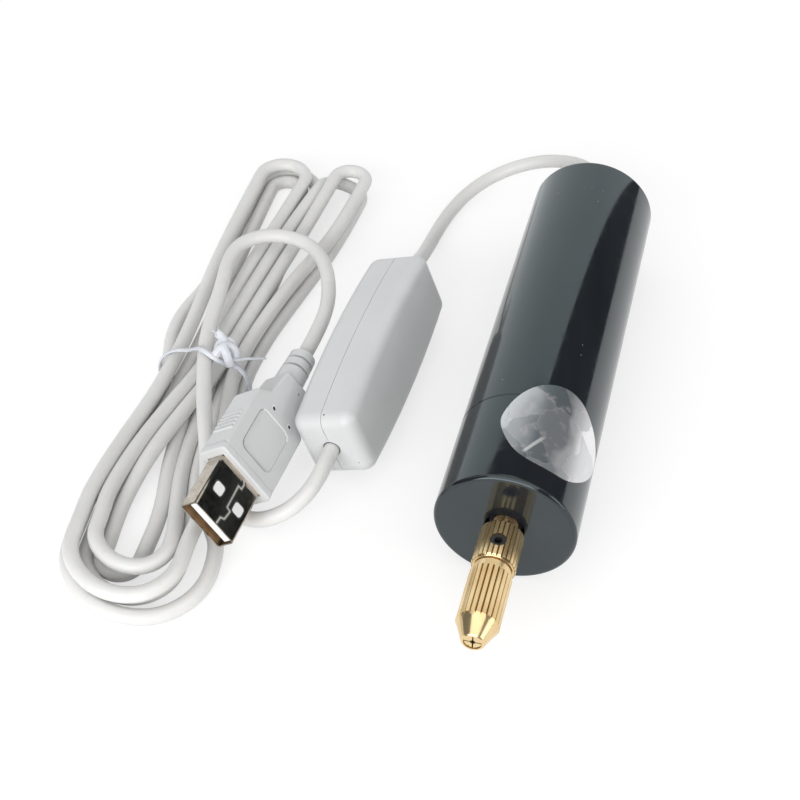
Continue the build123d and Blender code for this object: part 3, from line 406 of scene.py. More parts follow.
# By slot: name, light and dark colour, roughness, the grains' scale and depth, metallic
DULL = {
    "magnet": ("magnet_ferrite", (0.10, 0.10, 0.11), (0.06, 0.06, 0.065), 0.7, 1400, 0.00005),
    "ferrite": ("coil_ferrite", (0.11, 0.11, 0.12), (0.07, 0.07, 0.075), 0.65, 1600, 0.00005),
    "brush_carbon": ("brush_carbon", (0.05, 0.05, 0.05), (0.03, 0.03, 0.03), 0.6, 2000, 0.00004),
    "bush_bronze": (
        "bush_sintered", (0.55, 0.40, 0.22), (0.38, 0.26, 0.14), 0.4, 2200, 0.00003, 1.0),
}

FINISHES = {
    "black_plastic": glossy_black(),
    "cord_pvc": cord_jacket(),
    "foil": crumpled_foil(),
    "chuck_brass": turned_metal(
        "chuck_brass", BRASS_LIGHT, BRASS_DARK, 0.2, 0.85, RIB_GROOVES),
    "screw_steel": turned_metal(
        "set_screw_black", (0.03, 0.03, 0.032), (0.015, 0.015, 0.015), 0.5, 0.2),
    "shaft_steel": turned_metal(
        "ground_shaft", (0.72, 0.72, 0.73), (0.55, 0.54, 0.52), 0.18),
    "plug_steel": sheet_metal(
        "plug_nickel", (0.57, 0.52, 0.455), (0.39, 0.34, 0.28), 0.12, wear=300.0, speckle=0.7),
    # The motor can is plated steel, made near-black as painted shade where it shows through the
    # housing
    "motor_steel": sheet_metal(
        "motor_can_painted_shade", (0.05, 0.05, 0.054), (0.025, 0.025, 0.027), 0.5, (1, 0.1, 1)),
    "core_steel": layered(
        "core_laminations", (0.42, 0.42, 0.44), (0.16, 0.16, 0.17), 0.35, 0.0005, 0.00004),
    "winding_copper": layered(
        "winding_copper", (0.75, 0.36, 0.18), (0.35, 0.13, 0.06), 0.3, 0.0003, 0.00006),
}
for make, rows in ((moulded, MOULDED), (sheet_metal, SHEET), (dull, DULL)):
    FINISHES.update({slot: make(*row) for slot, row in rows.items()})

for part in frame["record"]["subparts"]:
    finish = FINISHES[part["material_slot"]]
    for slot in nodes[part["node"]].material_slots:
        slot.material = finish


# The lead's cords

def jacketed_cord(name, points_mm):
    """A cord whose line is one smooth NURBS, led by listed points."""
    line = bpy.data.curves.new(name, "CURVE")
    line.dimensions = "3D"
    line.bevel_depth = CORD_RADIUS
    line.bevel_resolution = 7
    line.resolution_u = 10
    line.use_fill_caps = True
    spline = line.splines.new("NURBS")
    spline.points.add(len(points_mm) - 1)
    for control, point in zip(spline.points, points_mm):
        control.co = (*(value * MM for value in point), 1)
    spline.order_u = 3
    spline.use_endpoint_u = True
    line.materials.append(FINISHES["cord_pvc"])
    cord = bpy.data.objects.new(name, line)
    bpy.context.collection.objects.link(cord)
    return cord


DRILL_TO_BOX = [
    (0, 71.1, 14), (0, 76.4, 14), (-2.4, 81.8, 13.7), (-7.6, 85.8, 12.6), (-14.6, 88.0, 10.6),
    (-21.9, 87.9, 7.8), (-28.6, 85.3, 4.9), (-33.5, 80.1, 2.7), (-36.3, 72.9, 1.75),
    (-37.6, 64.6, 1.75), (-37.9, 56.2, 2.9), (-37.5, 47.6, 6.2), (-36.93, 38.33, 11.23),
    (-36.93, 30.83, 11.07),
]

BOX_TO_HANK = [
    (-38.97, -20.91, 9.99), (-39.14, -25.41, 9.89), (-39.6, -30, 9), (-41.1, -34.3, 7.5),
    (-44.4, -37.7, 5.3), (-49.1, -39.2, 3.2), (-54, -38.2, 1.8), (-58.1, -34.5, 1.65),
    (-60, -29.12, 1.65), (-60, -24.5, 1.65),
]

HANK_TO_PLUG = [
    (-60.4, -40.6, 5.4), (-62.2, -33.2, 7.8), (-65, -26.1, 9.4), (-67.9, -19.3, 10),
    (-70.6, -12.2, 10.1), (-73.4, -4.4, 10.1), (-76, 4.4, 10), (-77.4, 14.6, 10),
    (-78.8, 22.8, 9.9), (-80.2, 30.2, 9.8), (-79.8, 36.4, 9.8), (-76.2, 40.6, 9.8),
    (-71.3, 42.3, 9.8), (-65.7, 41.5, 9.9), (-61, 38.4, 10.3), (-57, 32.6, 10.9),
    (-54, 25.6, 11.6), (-51.9, 17.5, 12.1), (-51.51, 8.17, 12.24), (-52.16, -0.40, 12.19),
]

# The hank lies in two layers. A rise of 0 is on the table, and 1 is on top of another strand
LAYER_HEIGHTS = (1.65, 5.2)
STATIONS_Y = (-41, -28, -14, -2, 14, 32, 50)

# Each loop: its right strand as (x, rise) at the stations up to its top bend, the bend as
# (x first, x last, y of its end, sideways lean, rise first, rise last), then its left strand
# down to its foot, and the foot's bend
LOOPS = [
    (((-62.4, 0), (-66.5, 0), (-66.2, 0), (-63.4, 0), (-60.6, 0)),
     (-59.6, -70.0, 75.6, 0, 0, 1),
     ((-72.2, 1), (-73.4, 1), (-74.4, 1), (-75.3, 1), (-77.9, 1), (-80.3, 1), (-81.0, 1)),
     (-79.9, -64.2, -58.2, 2.0, 1, 0.9)),
    (((-66.6, 0.4), (-70.4, 0), (-72.0, 0), (-73.5, 0), (-74.0, 0), (-74.6, 0), (-75.2, 0)),
     (-75.3, -83.2, 74.0, 0, 0, 0),
     ((-82.4, 0), (-81.4, 0), (-80.4, 0), (-80.1, 0), (-80.2, 0), (-81.2, 0), (-82.3, 0)),
     (-81.1, -61.8, -63.0, 1.6, 0, 0)),
    (((-63.3, 0), (-67.0, 0), (-68.6, 0), (-70.0, 0), (-70.4, 0), (-70.8, 0), (-71.4, 0)),
     (-71.8, -86.6, 77.8, 0, 0, 0),
     ((-86.2, 0), (-85.0, 0), (-88.9, 0), (-83.5, 0), (-83.6, 0), (-84.9, 0), (-86.0, 0)),
     (-85.2, -55.6, -67.2, 2.8, 0, 0)),
    (((-60.0, 0), (-63.7, 0), (-65.4, 0.5), (-68.3, 1), (-67.6, 1), (-65.0, 1), (-60.6, 1)),
     (-59.0, -67.0, 77.0, 0, 1.2, 1.2),
     ((-68.4, 1), (-69.8, 1), (-71.0, 1), (-71.8, 1), (-74.2, 1), (-76.9, 0.9), (-78.5, 0.15)),
     (-77.0, -69.3, -58.2, 0, 0, 0)),
    (((-69.9, 0), (-73.4, 0), (-75.4, 0), (-77.0, 0), (-77.3, 0.5), (-77.0, 1), (-75.5, 1)),
     (-74.4, -86.0, 76.4, 0, 1, 1),
     ((-85.6, 1), (-84.8, 1), (-82.9, 1), (-82.1, 1), (-82.4, 1), (-83.9, 1), (-84.6, 1)),
     (-83.6, -60.7, -65.2, 2.5, 1, 1)),
]


def height_at(rise):
    """The height in mm of a strand's middle at a rise."""
    low, high = LAYER_HEIGHTS
    return low + (high - low) * rise


# A half turn's control points, across and up in radii: 0.414 is the tangent of 22.5 degrees
HALF_TURN = ((1, -0.4), (1, 0.414), (0.414, 1), (-0.414, 1), (-1, 0.414), (-1, -0.4))


def bend_points(first_x, last_x, end_y, lean, first_rise, last_rise, way):
    """The points of one half turn: way is 1 over the top and -1 round a foot."""
    radius = abs(last_x - first_x) / 2
    middle_x, base_y = (first_x + last_x) / 2, end_y - way * radius
    side = math.copysign(1, first_x - last_x)
    points = []
    for count, (across, up) in enumerate(HALF_TURN):
        rise = first_rise + (last_rise - first_rise) * max(0, count - 2) / 3
        x = middle_x + side * across * radius + lean * max(0, up)
        points.append((x, base_y + way * up * radius, height_at(rise)))
    return points


def strand_points(strand, stations):
    """A strand's control points at its stations."""
    return [(x, y, height_at(rise)) for (x, rise), y in zip(strand, stations)]


def hank_points():
    """The hank's loops in turn, each up its right side, over, down its left and round."""
    points = []
    for right, top, left, foot in LOOPS:
        points += strand_points(right, STATIONS_Y[-len(right):])
        points += bend_points(*top, 1)
        points += strand_points(left, STATIONS_Y[::-1])
        points += bend_points(*foot, -1)
    return points


cord_to_box = jacketed_cord("cord_to_box", DRILL_TO_BOX)
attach(cord_to_box, "housing")
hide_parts("cord_drill_to_box")

cord_to_plug = jacketed_cord("cord_to_plug", BOX_TO_HANK + hank_points() + HANK_TO_PLUG)
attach(cord_to_plug, "housing")
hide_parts("cord_box_to_hank", "cord_hank", "cord_plug_tail")


# Pieces made for this object

# The plug: its collar's middle, its own axes, and its faces' heights over its middle in mm
PLUG_COLLAR = Vector((-54.9, -36.9, 12.0)) * MM
PLUG_AHEAD = Vector((-0.07498, -0.99717, -0.00524)).normalized()
PLUG_ACROSS = Vector((0.58786, -0.03996, -0.80798)).normalized()
SHELL_TOP, MOULD_TOP = 2.25, 3.575
GRIP_FACE = 7.7

# The box: its middle and its own axes
BOX_MIDDLE = Vector((-37.95, 4.96, 10.53)) * MM
BOX_ALONG = Vector((0.03925, 0.99901, 0.02094)).normalized()
BOX_OUT = Vector((0.94106, -0.04400, 0.33538)).normalized()
BOX_SIDE = BOX_OUT.cross(BOX_ALONG).normalized()


def plug_place():
    """The plug's own axes: x ahead of its collar, y across it, z out of its hole side."""
    upward = PLUG_AHEAD.cross(PLUG_ACROSS)
    across = upward.cross(PLUG_AHEAD)
    turn = Matrix((PLUG_AHEAD, across, upward)).transposed().to_4x4()
    return Matrix.Translation(PLUG_COLLAR) @ turn @ Matrix.Scale(MM, 4)


def new_piece(name, geometry, finish, smooth=False, replaced=()):
    """Make a closed mesh into a piece that rides on the housing."""
    bmesh.ops.recalc_face_normals(geometry, faces=geometry.faces)
    mesh = bpy.data.meshes.new(name)
    geometry.to_mesh(mesh)
    geometry.free()
    mesh.materials.append(finish)
    for face in mesh.polygons:
        face.use_smooth = smooth
    piece = bpy.data.objects.new(name, mesh)
    bpy.context.collection.objects.link(piece)
    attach(piece, "housing")
    if replaced:
        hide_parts(*replaced)


def closed_sweep(geometry, rings, loop=False):
    """Join rings of points into a skin, capped at its ends unless it closes on itself."""
    made = [[geometry.verts.new(point) for point in ring] for ring in rings]
    pairs = list(zip(made, made[1:] + made[:1])) if loop else list(zip(made, made[1:]))
    count = len(made[0])
    for ring, after in pairs:
        for index in range(count):
            following = (index + 1) % count
            geometry.faces.new((ring[index], ring[following], after[following], after[index]))
    if not loop:
        geometry.faces.new(made[0][::-1])
        geometry.faces.new(made[-1])


def inlaid_strip(geometry, place, path, width, bottom, top):
    """A flat strip laid along a bent line in a plane, with mitred corners."""
    path = [Vector(point) for point in path]
    rings = []
    for index, point in enumerate(path):
        before = (point - path[max(index - 1, 0)]).normalized()
        after = (path[min(index + 1, len(path) - 1)] - point).normalized()
        along = (before + after).normalized()
        aside = Vector((-along.y, along.x))
        flank = before if before.length else after
        share = aside.dot(Vector((-flank.y, flank.x)))
        aside *= width / 2 / max(share, 0.5)
        rings.append([
            place @ Vector((*(point + aside), bottom)), place @ Vector((*(point - aside), bottom)),
            place @ Vector((*(point - aside), top)), place @ Vector((*(point + aside), top)),
        ])
    closed_sweep(geometry, rings)


# How finely a ribbon's line is cut between its control points
RIBBON_STEPS = 6


def smooth_path(points_mm, cyclic=False):
    """Points along the NURBS line of listed control points, read from a bare curve."""
    line = bpy.data.curves.new("guide", "CURVE")
    line.dimensions = "3D"
    line.resolution_u = RIBBON_STEPS
    spline = line.splines.new("NURBS")
    spline.points.add(len(points_mm) - 1)
    for control, point in zip(spline.points, points_mm):
        control.co = (*(value * MM for value in point), 1)
    spline.order_u = 3
    spline.use_endpoint_u = not cyclic
    spline.use_cyclic_u = cyclic
    guide = bpy.data.objects.new("guide", line)
    mesh = bpy.data.meshes.new_from_object(guide)
    points = [vertex.co.copy() for vertex in mesh.vertices]
    bpy.data.objects.remove(guide)
    bpy.data.curves.remove(line)
    bpy.data.meshes.remove(mesh)
    return points


# The tie's section: a flat plastic ribbon with a wire along its middle, as shares of its
# width and thickness
RIBBON_SECTION = (
    (-0.5, -0.22), (-0.5, 0.22), (-0.2, 0.26), (-0.1, 0.48), (0.1, 0.48), (0.2, 0.26),
    (0.5, 0.22), (0.5, -0.22), (0.2, -0.26), (0.1, -0.48), (-0.1, -0.48), (-0.2, -0.26),
)


def tie_ribbon(geometry, points_mm, width, thickness, centre_mm, twist=(0, 0), taper=1.0,
               cyclic=False):
    """A ribbon swept along a smooth line, its flat side turned away from a centre."""
    path = smooth_path(points_mm, cyclic)
    centre = Vector(centre_mm) * MM
    rings = []
    last = len(path) - 1
    for index, point in enumerate(path):
        if cyclic:
            along = (path[(index + 1) % len(path)] - path[index - 1]).normalized()
        else:
            along = (path[min(index + 1, last)] - path[max(index - 1, 0)]).normalized()
        outward = point - centre
        outward -= along * outward.dot(along)
        outward.normalize()
        share = index / last
        turn = Matrix.Rotation(math.radians(twist[0] + (twist[1] - twist[0]) * share), 3, along)
        outward = turn @ outward
        aside = along.cross(outward)
        size = 1 + (taper - 1) * share
        rings.append([
            point + aside * (u * width * size * MM) + outward * (v * thickness * MM)
            for u, v in RIBBON_SECTION
        ])
    closed_sweep(geometry, rings, loop=cyclic)


TIE_BAND = [
    (-83.2, -1.5, 0.3), (-85.4, -1.5, 0.7), (-86.0, -1.4, 2.6), (-85.3, -1.1, 5.0),
    (-83.4, -0.7, 7.3), (-80.8, -0.3, 8.1), (-78.2, -0.6, 8.8), (-76.3, -2.0, 11.0),
    (-74.6, -3.2, 12.6), (-72.8, -4.0, 12.6), (-71.0, -4.2, 11.4), (-69.6, -3.6, 10.0),
    (-68.2, -2.4, 8.8), (-66.4, -2.2, 7.8), (-64.8, -2.8, 6.6), (-63.9, -3.2, 4.6),
    (-63.7, -3.2, 2.4), (-64.4, -3.0, 0.5), (-66.5, -2.8, 0.3), (-80.5, -1.6, 0.3),
]
KNOT_WRAP = [
    (-71.4, -4.2, 11.0), (-70.4, -2.8, 12.8), (-68.9, -1.2, 13.0), (-67.3, -0.6, 11.6),
    (-66.9, -1.6, 10.0),
]
KNOT_TUCK = [
    (-70.6, -0.6, 12.6), (-69.9, -1.8, 13.3), (-68.6, -3.0, 12.2), (-67.8, -3.9, 10.2),
    (-67.6, -3.6, 9.0),
]
KNOT_BACK = [
    (-71.2, -2.2, 11.4), (-71.0, -0.6, 12.9), (-69.4, 0.4, 13.1), (-67.8, -0.1, 12.0),
    (-67.2, -1.4, 10.4),
]
TORN_END = [
    (-68.6, -2.4, 11.4), (-69.1, -1.2, 12.7), (-70.2, 0.0, 13.4), (-71.4, 0.7, 13.8),
    (-72.2, 1.0, 13.9),
]
POINTED_END = [
    (-68.6, -3.0, 10.6), (-67.2, -2.2, 9.9), (-65.6, -0.8, 9.3), (-63.4, 0.7, 8.6),
    (-61.4, 1.7, 8.2),
]
TORN_FIBRES = [
    [(-71.9, 0.3, 13.8), (-72.5, 0.7, 14.1), (-73.0, 1.6, 14.1)],
    [(-71.9, 1.4, 13.9), (-72.3, 1.9, 14.1), (-72.1, 2.5, 14.3)],
    [(-72.2, 1.0, 13.9), (-72.8, 1.2, 14.2), (-73.4, 1.2, 14.1)],
]

# What each ribbon's flat side is turned away from
BAND_MIDDLE = (-75.0, -2.0, 4.0)
BEHIND_KNOT = (-82.0, 25.0, -16.0)
UNDER_FIBRES = (-72.0, -6.0, 8.0)
UNDER_POINTED_END = (-66.0, -1.0, 2.0)

# The knot's ribbons: line, width, thickness, and the twist at the line's start and end
KNOT = (
    (KNOT_WRAP, 1.9, 0.6, (10, -10)),
    (KNOT_TUCK, 1.9, 0.6, (-10, 20)),
    (KNOT_BACK, 1.7, 0.55, (0, 15)),
    (TORN_END, 1.8, 0.5, (15, -20)),
)

# Width and thickness of the band, of a torn fibre and of the pointed end
BAND_SIZE, FIBRE_SIZE, POINT_SIZE = (1.35, 0.66), (0.3, 0.25), (1.2, 0.6)
FIBRE_TAPER, POINT_TAPER, POINT_TWIST = 0.4, 0.3, (0, 50)


def hank_tie():
    """The hank's plastic-covered wire tie: its band, its knot and its two loose ends."""
    geometry = bmesh.new()
    tie_ribbon(geometry, TIE_BAND, *BAND_SIZE, BAND_MIDDLE, cyclic=True)
    for line, width, thickness, twist in KNOT:
        tie_ribbon(geometry, line, width, thickness, BEHIND_KNOT, twist)
    for fibre in TORN_FIBRES:
        tie_ribbon(geometry, fibre, *FIBRE_SIZE, UNDER_FIBRES, taper=FIBRE_TAPER)
    tie_ribbon(geometry, POINTED_END, *POINT_SIZE, UNDER_POINTED_END, POINT_TWIST, POINT_TAPER)
    new_piece("wire_tie", geometry, FINISHES["tie_white"], True, ("hank_tie",))


def group_input(tree, name, kind, value):
    """A named input of a node group, with its default."""
    socket = tree.interface.new_socket(name, in_out="INPUT", socket_type=kind)
    if value is not None:
        socket.default_value = value


def scatter_tree(name, shape_node, shape_settings):
    """A node group that sets small copies of one shape on points of a surface."""
    tree = bpy.data.node_groups.new(name, "GeometryNodeTree")
    group_input(tree, "Geometry", "NodeSocketGeometry", None)
    group_input(tree, "Density", "NodeSocketFloat", 1.0)
    group_input(tree, "Seed", "NodeSocketInt", 1)
    group_input(tree, "Smallest", "NodeSocketFloat", 0.5)
    group_input(tree, "Largest", "NodeSocketFloat", 1.0)
    group_input(tree, "Finish", "NodeSocketMaterial", None)
    tree.interface.new_socket("Geometry", in_out="OUTPUT", socket_type="NodeSocketGeometry")
    given = tree.nodes.new("NodeGroupInput").outputs
    result = tree.nodes.new("NodeGroupOutput")
    points = add_node(tree, "GeometryNodeDistributePointsOnFaces", {
        "Mesh": given["Geometry"], "Density": given["Density"], "Seed": given["Seed"]})
    shape = add_node(tree, shape_node, shape_settings)
    size = add_node(tree, "FunctionNodeRandomValue", data_type="FLOAT_VECTOR")
    for index, side in ((0, "Smallest"), (1, "Largest")):
        tree.links.new(given[side], size.inputs[index])
    tree.links.new(given["Seed"], size.inputs["Seed"])
    copies = add_node(tree, "GeometryNodeInstanceOnPoints", {
        "Points": points.outputs["Points"], "Instance": shape.outputs["Mesh"],
        "Rotation": points.outputs["Rotation"], "Scale": size.outputs[0]})
    solid = add_node(tree, "GeometryNodeRealizeInstances", {"Geometry": copies.outputs[0]})
    named = add_node(tree, "GeometryNodeSetMaterial", {
        "Geometry": solid.outputs[0], "Material": given["Finish"]})
    tree.links.new(named.outputs[0], result.inputs[0])
    return tree


def scattered(name, surface, tree, settings):
    """A new mesh of the copies that a node group sets on a surface."""
    holder = bpy.data.objects.new(name, surface)
    bpy.context.collection.objects.link(holder)
    modifier = holder.modifiers.new("scatter", "NODES")
    modifier.node_group = tree
    names = {item.name: item.identifier for item in tree.interface.items_tree
             if item.in_out == "INPUT"}
    for key, value in settings.items():
        modifier[names[key]] = value
    graph = bpy.context.evaluated_depsgraph_get()
    mesh = bpy.data.meshes.new_from_object(holder.evaluated_get(graph))
    holder.modifiers.remove(modifier)
    holder.data = mesh
    return holder


# The strip of the tube that takes dust, in degrees from its top and metres from its ends
DUST_ANGLES = range(-80, 81, 10)
DUST_FROM_NOSE, DUST_FROM_REAR = 2 * MM, 3 * MM
GRAIN_RADIUS = 0.00009
GRAINS_PER_M2 = 9000.0


def tube_dust():
    """A few flecks of dust on the tube and cap, as pale grains up to 0.18 mm wide."""
    geometry = bmesh.new()
    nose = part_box("front_cap")[0].y + DUST_FROM_NOSE
    turns = [math.radians(angle) for angle in DUST_ANGLES]
    rows = []
    for y in (nose, tube_high.y - DUST_FROM_REAR):
        rows.append([geometry.verts.new((
            TUBE_RADIUS * math.sin(turn), y, AXIS_HEIGHT + TUBE_RADIUS * math.cos(turn),
        )) for turn in turns])
    front, rear = rows
    for index in range(len(turns) - 1):
        geometry.faces.new((front[index], front[index + 1], rear[index + 1], rear[index]))
    surface = bpy.data.meshes.new("dust_ground")
    geometry.to_mesh(surface)
    geometry.free()
    tree = scatter_tree("dust_scatter", "GeometryNodeMeshIcoSphere",
                        {"Radius": GRAIN_RADIUS, "Subdivisions": 2})
    dust = scattered("tube_dust", surface, tree, {
        "Density": GRAINS_PER_M2, "Seed": 7, "Smallest": 0.25, "Largest": 1.0,
        "Finish": FINISHES["dust"]})
    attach(dust, "housing")


def slab(geometry, place, corners, bottom, top):
    """A flat closed slab on a plane, from its outline."""
    closed_sweep(geometry, [[place @ Vector((*corner, height)) for corner in corners]
                            for height in (bottom, top)])


CORNER_STEPS = 4


def rounded_corners(middle, length, width, radius):
    """The outline of a rounded rectangle, by its middle and sides."""
    outline = []
    for quarter, (right, up) in enumerate(((1, 1), (-1, 1), (-1, -1), (1, -1))):
        for step in range(CORNER_STEPS + 1):
            angle = math.radians(90 * (quarter + step / CORNER_STEPS))
            outline.append((
                middle[0] + right * (length / 2 - radius) + radius * math.cos(angle),
                middle[1] + up * (width / 2 - radius) + radius * math.sin(angle)))
    return outline


# The plug's details, on its own axes in mm: x ahead of the collar, y across
SEAM_LINE = ((0.5, 0.95), (1.2, 1.5), (2.45, 1.45), (2.5, 0.5), (8.2, 0.65), (8.4, 1.7),
             (10.7, 1.4), (11.1, 0.45), (12.75, 0.3))
SEAM_GAP_WIDTH, SEAM_EDGE_WIDTH = 0.95, 0.34
WINDOW_MIDDLES = ((6.55, -2.98), (6.65, 3.08))
ROOT_RIM = ((0.02, -5.4), (0.5, -5.4), (0.5, 5.4), (0.02, 5.4))
# A brown sheet inside the mouth: painted shade, tinted as a painted reflection of the gold
# contacts
MOUTH_SHADE_SHEET = ((4.0, -5.2), (12.7, -5.2), (12.7, 5.2), (4.0, 5.2))
# A painted highlight along the panel's lit edge, and painted shade along its shaded edge
PANEL_LIT_LINE = ((-14.9, -3.9), (-15.38, -3.2), (-15.4, 2.9), (-15.0, 4.1), (-13.9, 4.58))
PANEL_SHADED_LINE = ((-14.6, -4.3), (-13.8, -4.6), (-5.6, -4.6), (-4.5, -4.1), (-4.0, -3.0),
                     (-4.0, 3.4))
PANEL_LIT_WIDTH, PANEL_SHADED_WIDTH = 0.36, 0.13

# A window's hole of painted shade, its frame of painted shade and the white block in it: length,
# width and corner radius
WINDOW_HOLE, WINDOW_FRAME, WINDOW_BLOCK = (2.3, 2.3, 0.2), (2.9, 2.95, 0.7), (2.5, 2.55, 0.65)
FRAME_WIDTH = 0.22

# Heights over the plug's middle: the undersides of the strips and slabs, then their tops
SHELL_INLAY, MOULD_INLAY = SHELL_TOP - 0.1, MOULD_TOP - 0.2
HOLE_BOTTOM, BLOCK_BOTTOM, RIM_BOTTOM, SHADE_SHEET_BOTTOM = 1.9, 1.95, 2.15, -2.0
SEAM_GAP_TOP, SEAM_EDGE_TOP, FRAME_TOP = SHELL_TOP + 0.012, SHELL_TOP + 0.04, SHELL_TOP + 0.014
BLOCK_TOP, RIM_TOP, PANEL_STRIP_TOP = SHELL_TOP + 0.03, SHELL_TOP + 0.02, MOULD_TOP + 0.01
HOLE_TOP, SHADE_SHEET_TOP = 2.0, -1.9

# The grip's ridges: the first one's place, their pitch and half sizes, and each end's swell
# by height
GRIP_RIDGES, GRIP_FIRST, GRIP_PITCH = 5, -6.2, 1.1
GRIP_HALF_WIDTH, GRIP_RISE, GRIP_SUNK = 0.42, 0.55, 0.12
GRIP_SWELL = ((-3.0, 0.15), (-2.7, 0.75), (-2.2, 1), (2.2, 1), (2.7, 0.75), (3.0, 0.15))


def ridge_rings(place, middle, side):
    """The rings of one grip ridge, round its own length up the moulding's edge."""
    rings = []
    for height, size in GRIP_SWELL:
        turns = [math.radians(angle) for angle in range(0, 360, 30)]
        rings.append([place @ Vector((
            middle + GRIP_HALF_WIDTH * size * math.cos(turn),
            side * (GRIP_FACE - GRIP_SUNK + GRIP_RISE * size * math.sin(turn)),
            height)) for turn in turns])
    return rings


def plug_details():
    """The plug's keyed seam, root rim, windows, mouth, panel edges and grip ridges, with painted
    shade and highlights.
    """
    place = plug_place()
    dark, pale, tan, white = bmesh.new(), bmesh.new(), bmesh.new(), bmesh.new()
    # The seam's gap as a strip of painted shade, with a pale line along its middle
    inlaid_strip(dark, place, SEAM_LINE, SEAM_GAP_WIDTH, SHELL_INLAY, SEAM_GAP_TOP)
    inlaid_strip(pale, place, SEAM_LINE, SEAM_EDGE_WIDTH, SHELL_INLAY, SEAM_EDGE_TOP)
    # Each window: a hole and a frame of painted shade round a white block
    for middle in WINDOW_MIDDLES:
        slab(dark, place, rounded_corners(middle, *WINDOW_HOLE), HOLE_BOTTOM, HOLE_TOP)
        frame_line = rounded_corners(middle, *WINDOW_FRAME)
        inlaid_strip(dark, place, frame_line + frame_line[:1], FRAME_WIDTH, SHELL_INLAY,
                     FRAME_TOP)
        slab(white, place, rounded_corners(middle, *WINDOW_BLOCK), BLOCK_BOTTOM, BLOCK_TOP)
    slab(tan, place, ROOT_RIM, RIM_BOTTOM, RIM_TOP)
    new_piece("shell_painted_shade", dark, FINISHES["seam_dark"])
    new_piece("shell_seam_edge", pale, FINISHES["seam_pale"])
    new_piece("shell_window_block", white, FINISHES["tongue_white"])
    new_piece("shell_root_rim", tan, FINISHES["rim_tan"])

    # A brown sheet of painted shade inside the mouth, tinted as a painted reflection of the gold
    # contacts
    mouth = bmesh.new()
    slab(mouth, place, MOUTH_SHADE_SHEET, SHADE_SHEET_BOTTOM, SHADE_SHEET_TOP)
    new_piece("shell_mouth_shade", mouth, FINISHES["mouth_brown"])

    # A painted highlight along the panel's lit edge, and painted shade along its shaded edge
    lit, shaded = bmesh.new(), bmesh.new()
    inlaid_strip(lit, place, PANEL_LIT_LINE, PANEL_LIT_WIDTH, MOULD_INLAY, PANEL_STRIP_TOP)
    inlaid_strip(shaded, place, PANEL_SHADED_LINE, PANEL_SHADED_WIDTH, MOULD_INLAY,
                 PANEL_STRIP_TOP)
    new_piece("panel_lit_edge", lit, FINISHES["pale_highlight"])
    new_piece("panel_shaded_edge", shaded, FINISHES["panel_shadow"])

    grips = bmesh.new()
    for side in (-1, 1):
        for count in range(GRIP_RIDGES):
            closed_sweep(grips, ridge_rings(place, GRIP_FIRST - GRIP_PITCH * count, side))
    new_piece("grip_ridges", grips, FINISHES["grey_plastic"], True)


# Dots of painted shade, in mm. On the plug: x, y, radius, and if a painted highlight lies beside
# it.
# On the box: its place along, to the side and out from the middle, and its radius
PLUG_DOTS = ((-17.2, -2.0, 0.48, True), (-17.0, 3.3, 0.42, True), (-25.2, 1.45, 0.2, False))
BOX_DOTS = ((-25.6, 7.7, 0.7, 0.2), (-15.4, 6.9, 6.3, 0.24), (-27.2, -4.3, 4.6, 0.12))
DOT_DEPTH, DOT_PROUD, DOT_SQUASH, DOT_SIDES = -0.05, 0.02, 0.75, 12

# A painted highlight beside a dot: its radius and its shift as shares of the dot's radius, and its
# height
HIGHLIGHT_SPREAD, HIGHLIGHT_SHIFT, HIGHLIGHT_PROUD = 1.5, 0.25, 0.008


def surface_marks():
    """Painted shade in the sink dots and ejector slots of the mouldings, some with a painted
    highlight beside them.
    """
    place = plug_place()
    marks = [("plug_overmould", place @ Vector((x, y, MOULD_TOP)), radius, highlighted)
             for x, y, radius, highlighted in PLUG_DOTS]
    for along, side, out, radius in BOX_DOTS:
        marks.append(("box_cover", BOX_MIDDLE + BOX_ALONG * (along * MM) + BOX_SIDE * (side * MM)
                      + BOX_OUT * (out * MM), radius, False))
    dark, lit = bmesh.new(), bmesh.new()
    for node, aim, radius, highlighted in marks:
        _, spot, normal, _ = nodes[node].closest_point_on_mesh(aim)
        flat = normal.orthogonal().normalized()
        other = normal.cross(flat)
        layers = [(dark, radius, 0, DOT_PROUD)]
        if highlighted:
            layers.append((lit, radius * HIGHLIGHT_SPREAD, HIGHLIGHT_SHIFT, HIGHLIGHT_PROUD))
        for geometry, size, shift, proud in layers:
            middle = spot + flat * (shift * radius * MM)
            turns = [step * 2 * math.pi / DOT_SIDES for step in range(DOT_SIDES)]
            closed_sweep(geometry, [[
                middle + normal * (depth * MM)
                + flat * (math.cos(turn) * size * MM)
                + other * (math.sin(turn) * size * DOT_SQUASH * MM)
                for turn in turns
            ] for depth in (DOT_DEPTH, proud)])
    new_piece("moulding_dot_shade", dark, FINISHES["seam_dark"])
    new_piece("moulding_dot_highlights", lit, FINISHES["pale_highlight"])


# Each cord hole of the box: its middle in mm, and its way along the box
CORD_HOLES = (((-39.03, -22.37, 9.96), -1), ((-36.88, 32.29, 11.10), 1))

# The rings of a hole's lip and of the painted shade in its gap: their own radius, and that of
# their section, in mm
LIP_RING, GAP_RING = (2.05, 0.13), (1.78, 0.09)
RING_TURNS, RING_SIDES = 32, 8


def ring_about(geometry, middle, axis, radius, thickness):
    """A closed ring of round section about an axis."""
    flat = axis.orthogonal().normalized()
    other = axis.cross(flat)
    rings = []
    for turn in range(RING_TURNS):
        angle = turn * 2 * math.pi / RING_TURNS
        out = flat * math.cos(angle) + other * math.sin(angle)
        rings.append([
            middle + out * ((radius + thickness * math.cos(step * 2 * math.pi / RING_SIDES)) * MM)
            + axis * (thickness * math.sin(step * 2 * math.pi / RING_SIDES) * MM)
            for step in range(RING_SIDES)
        ])
    closed_sweep(geometry, rings, loop=True)


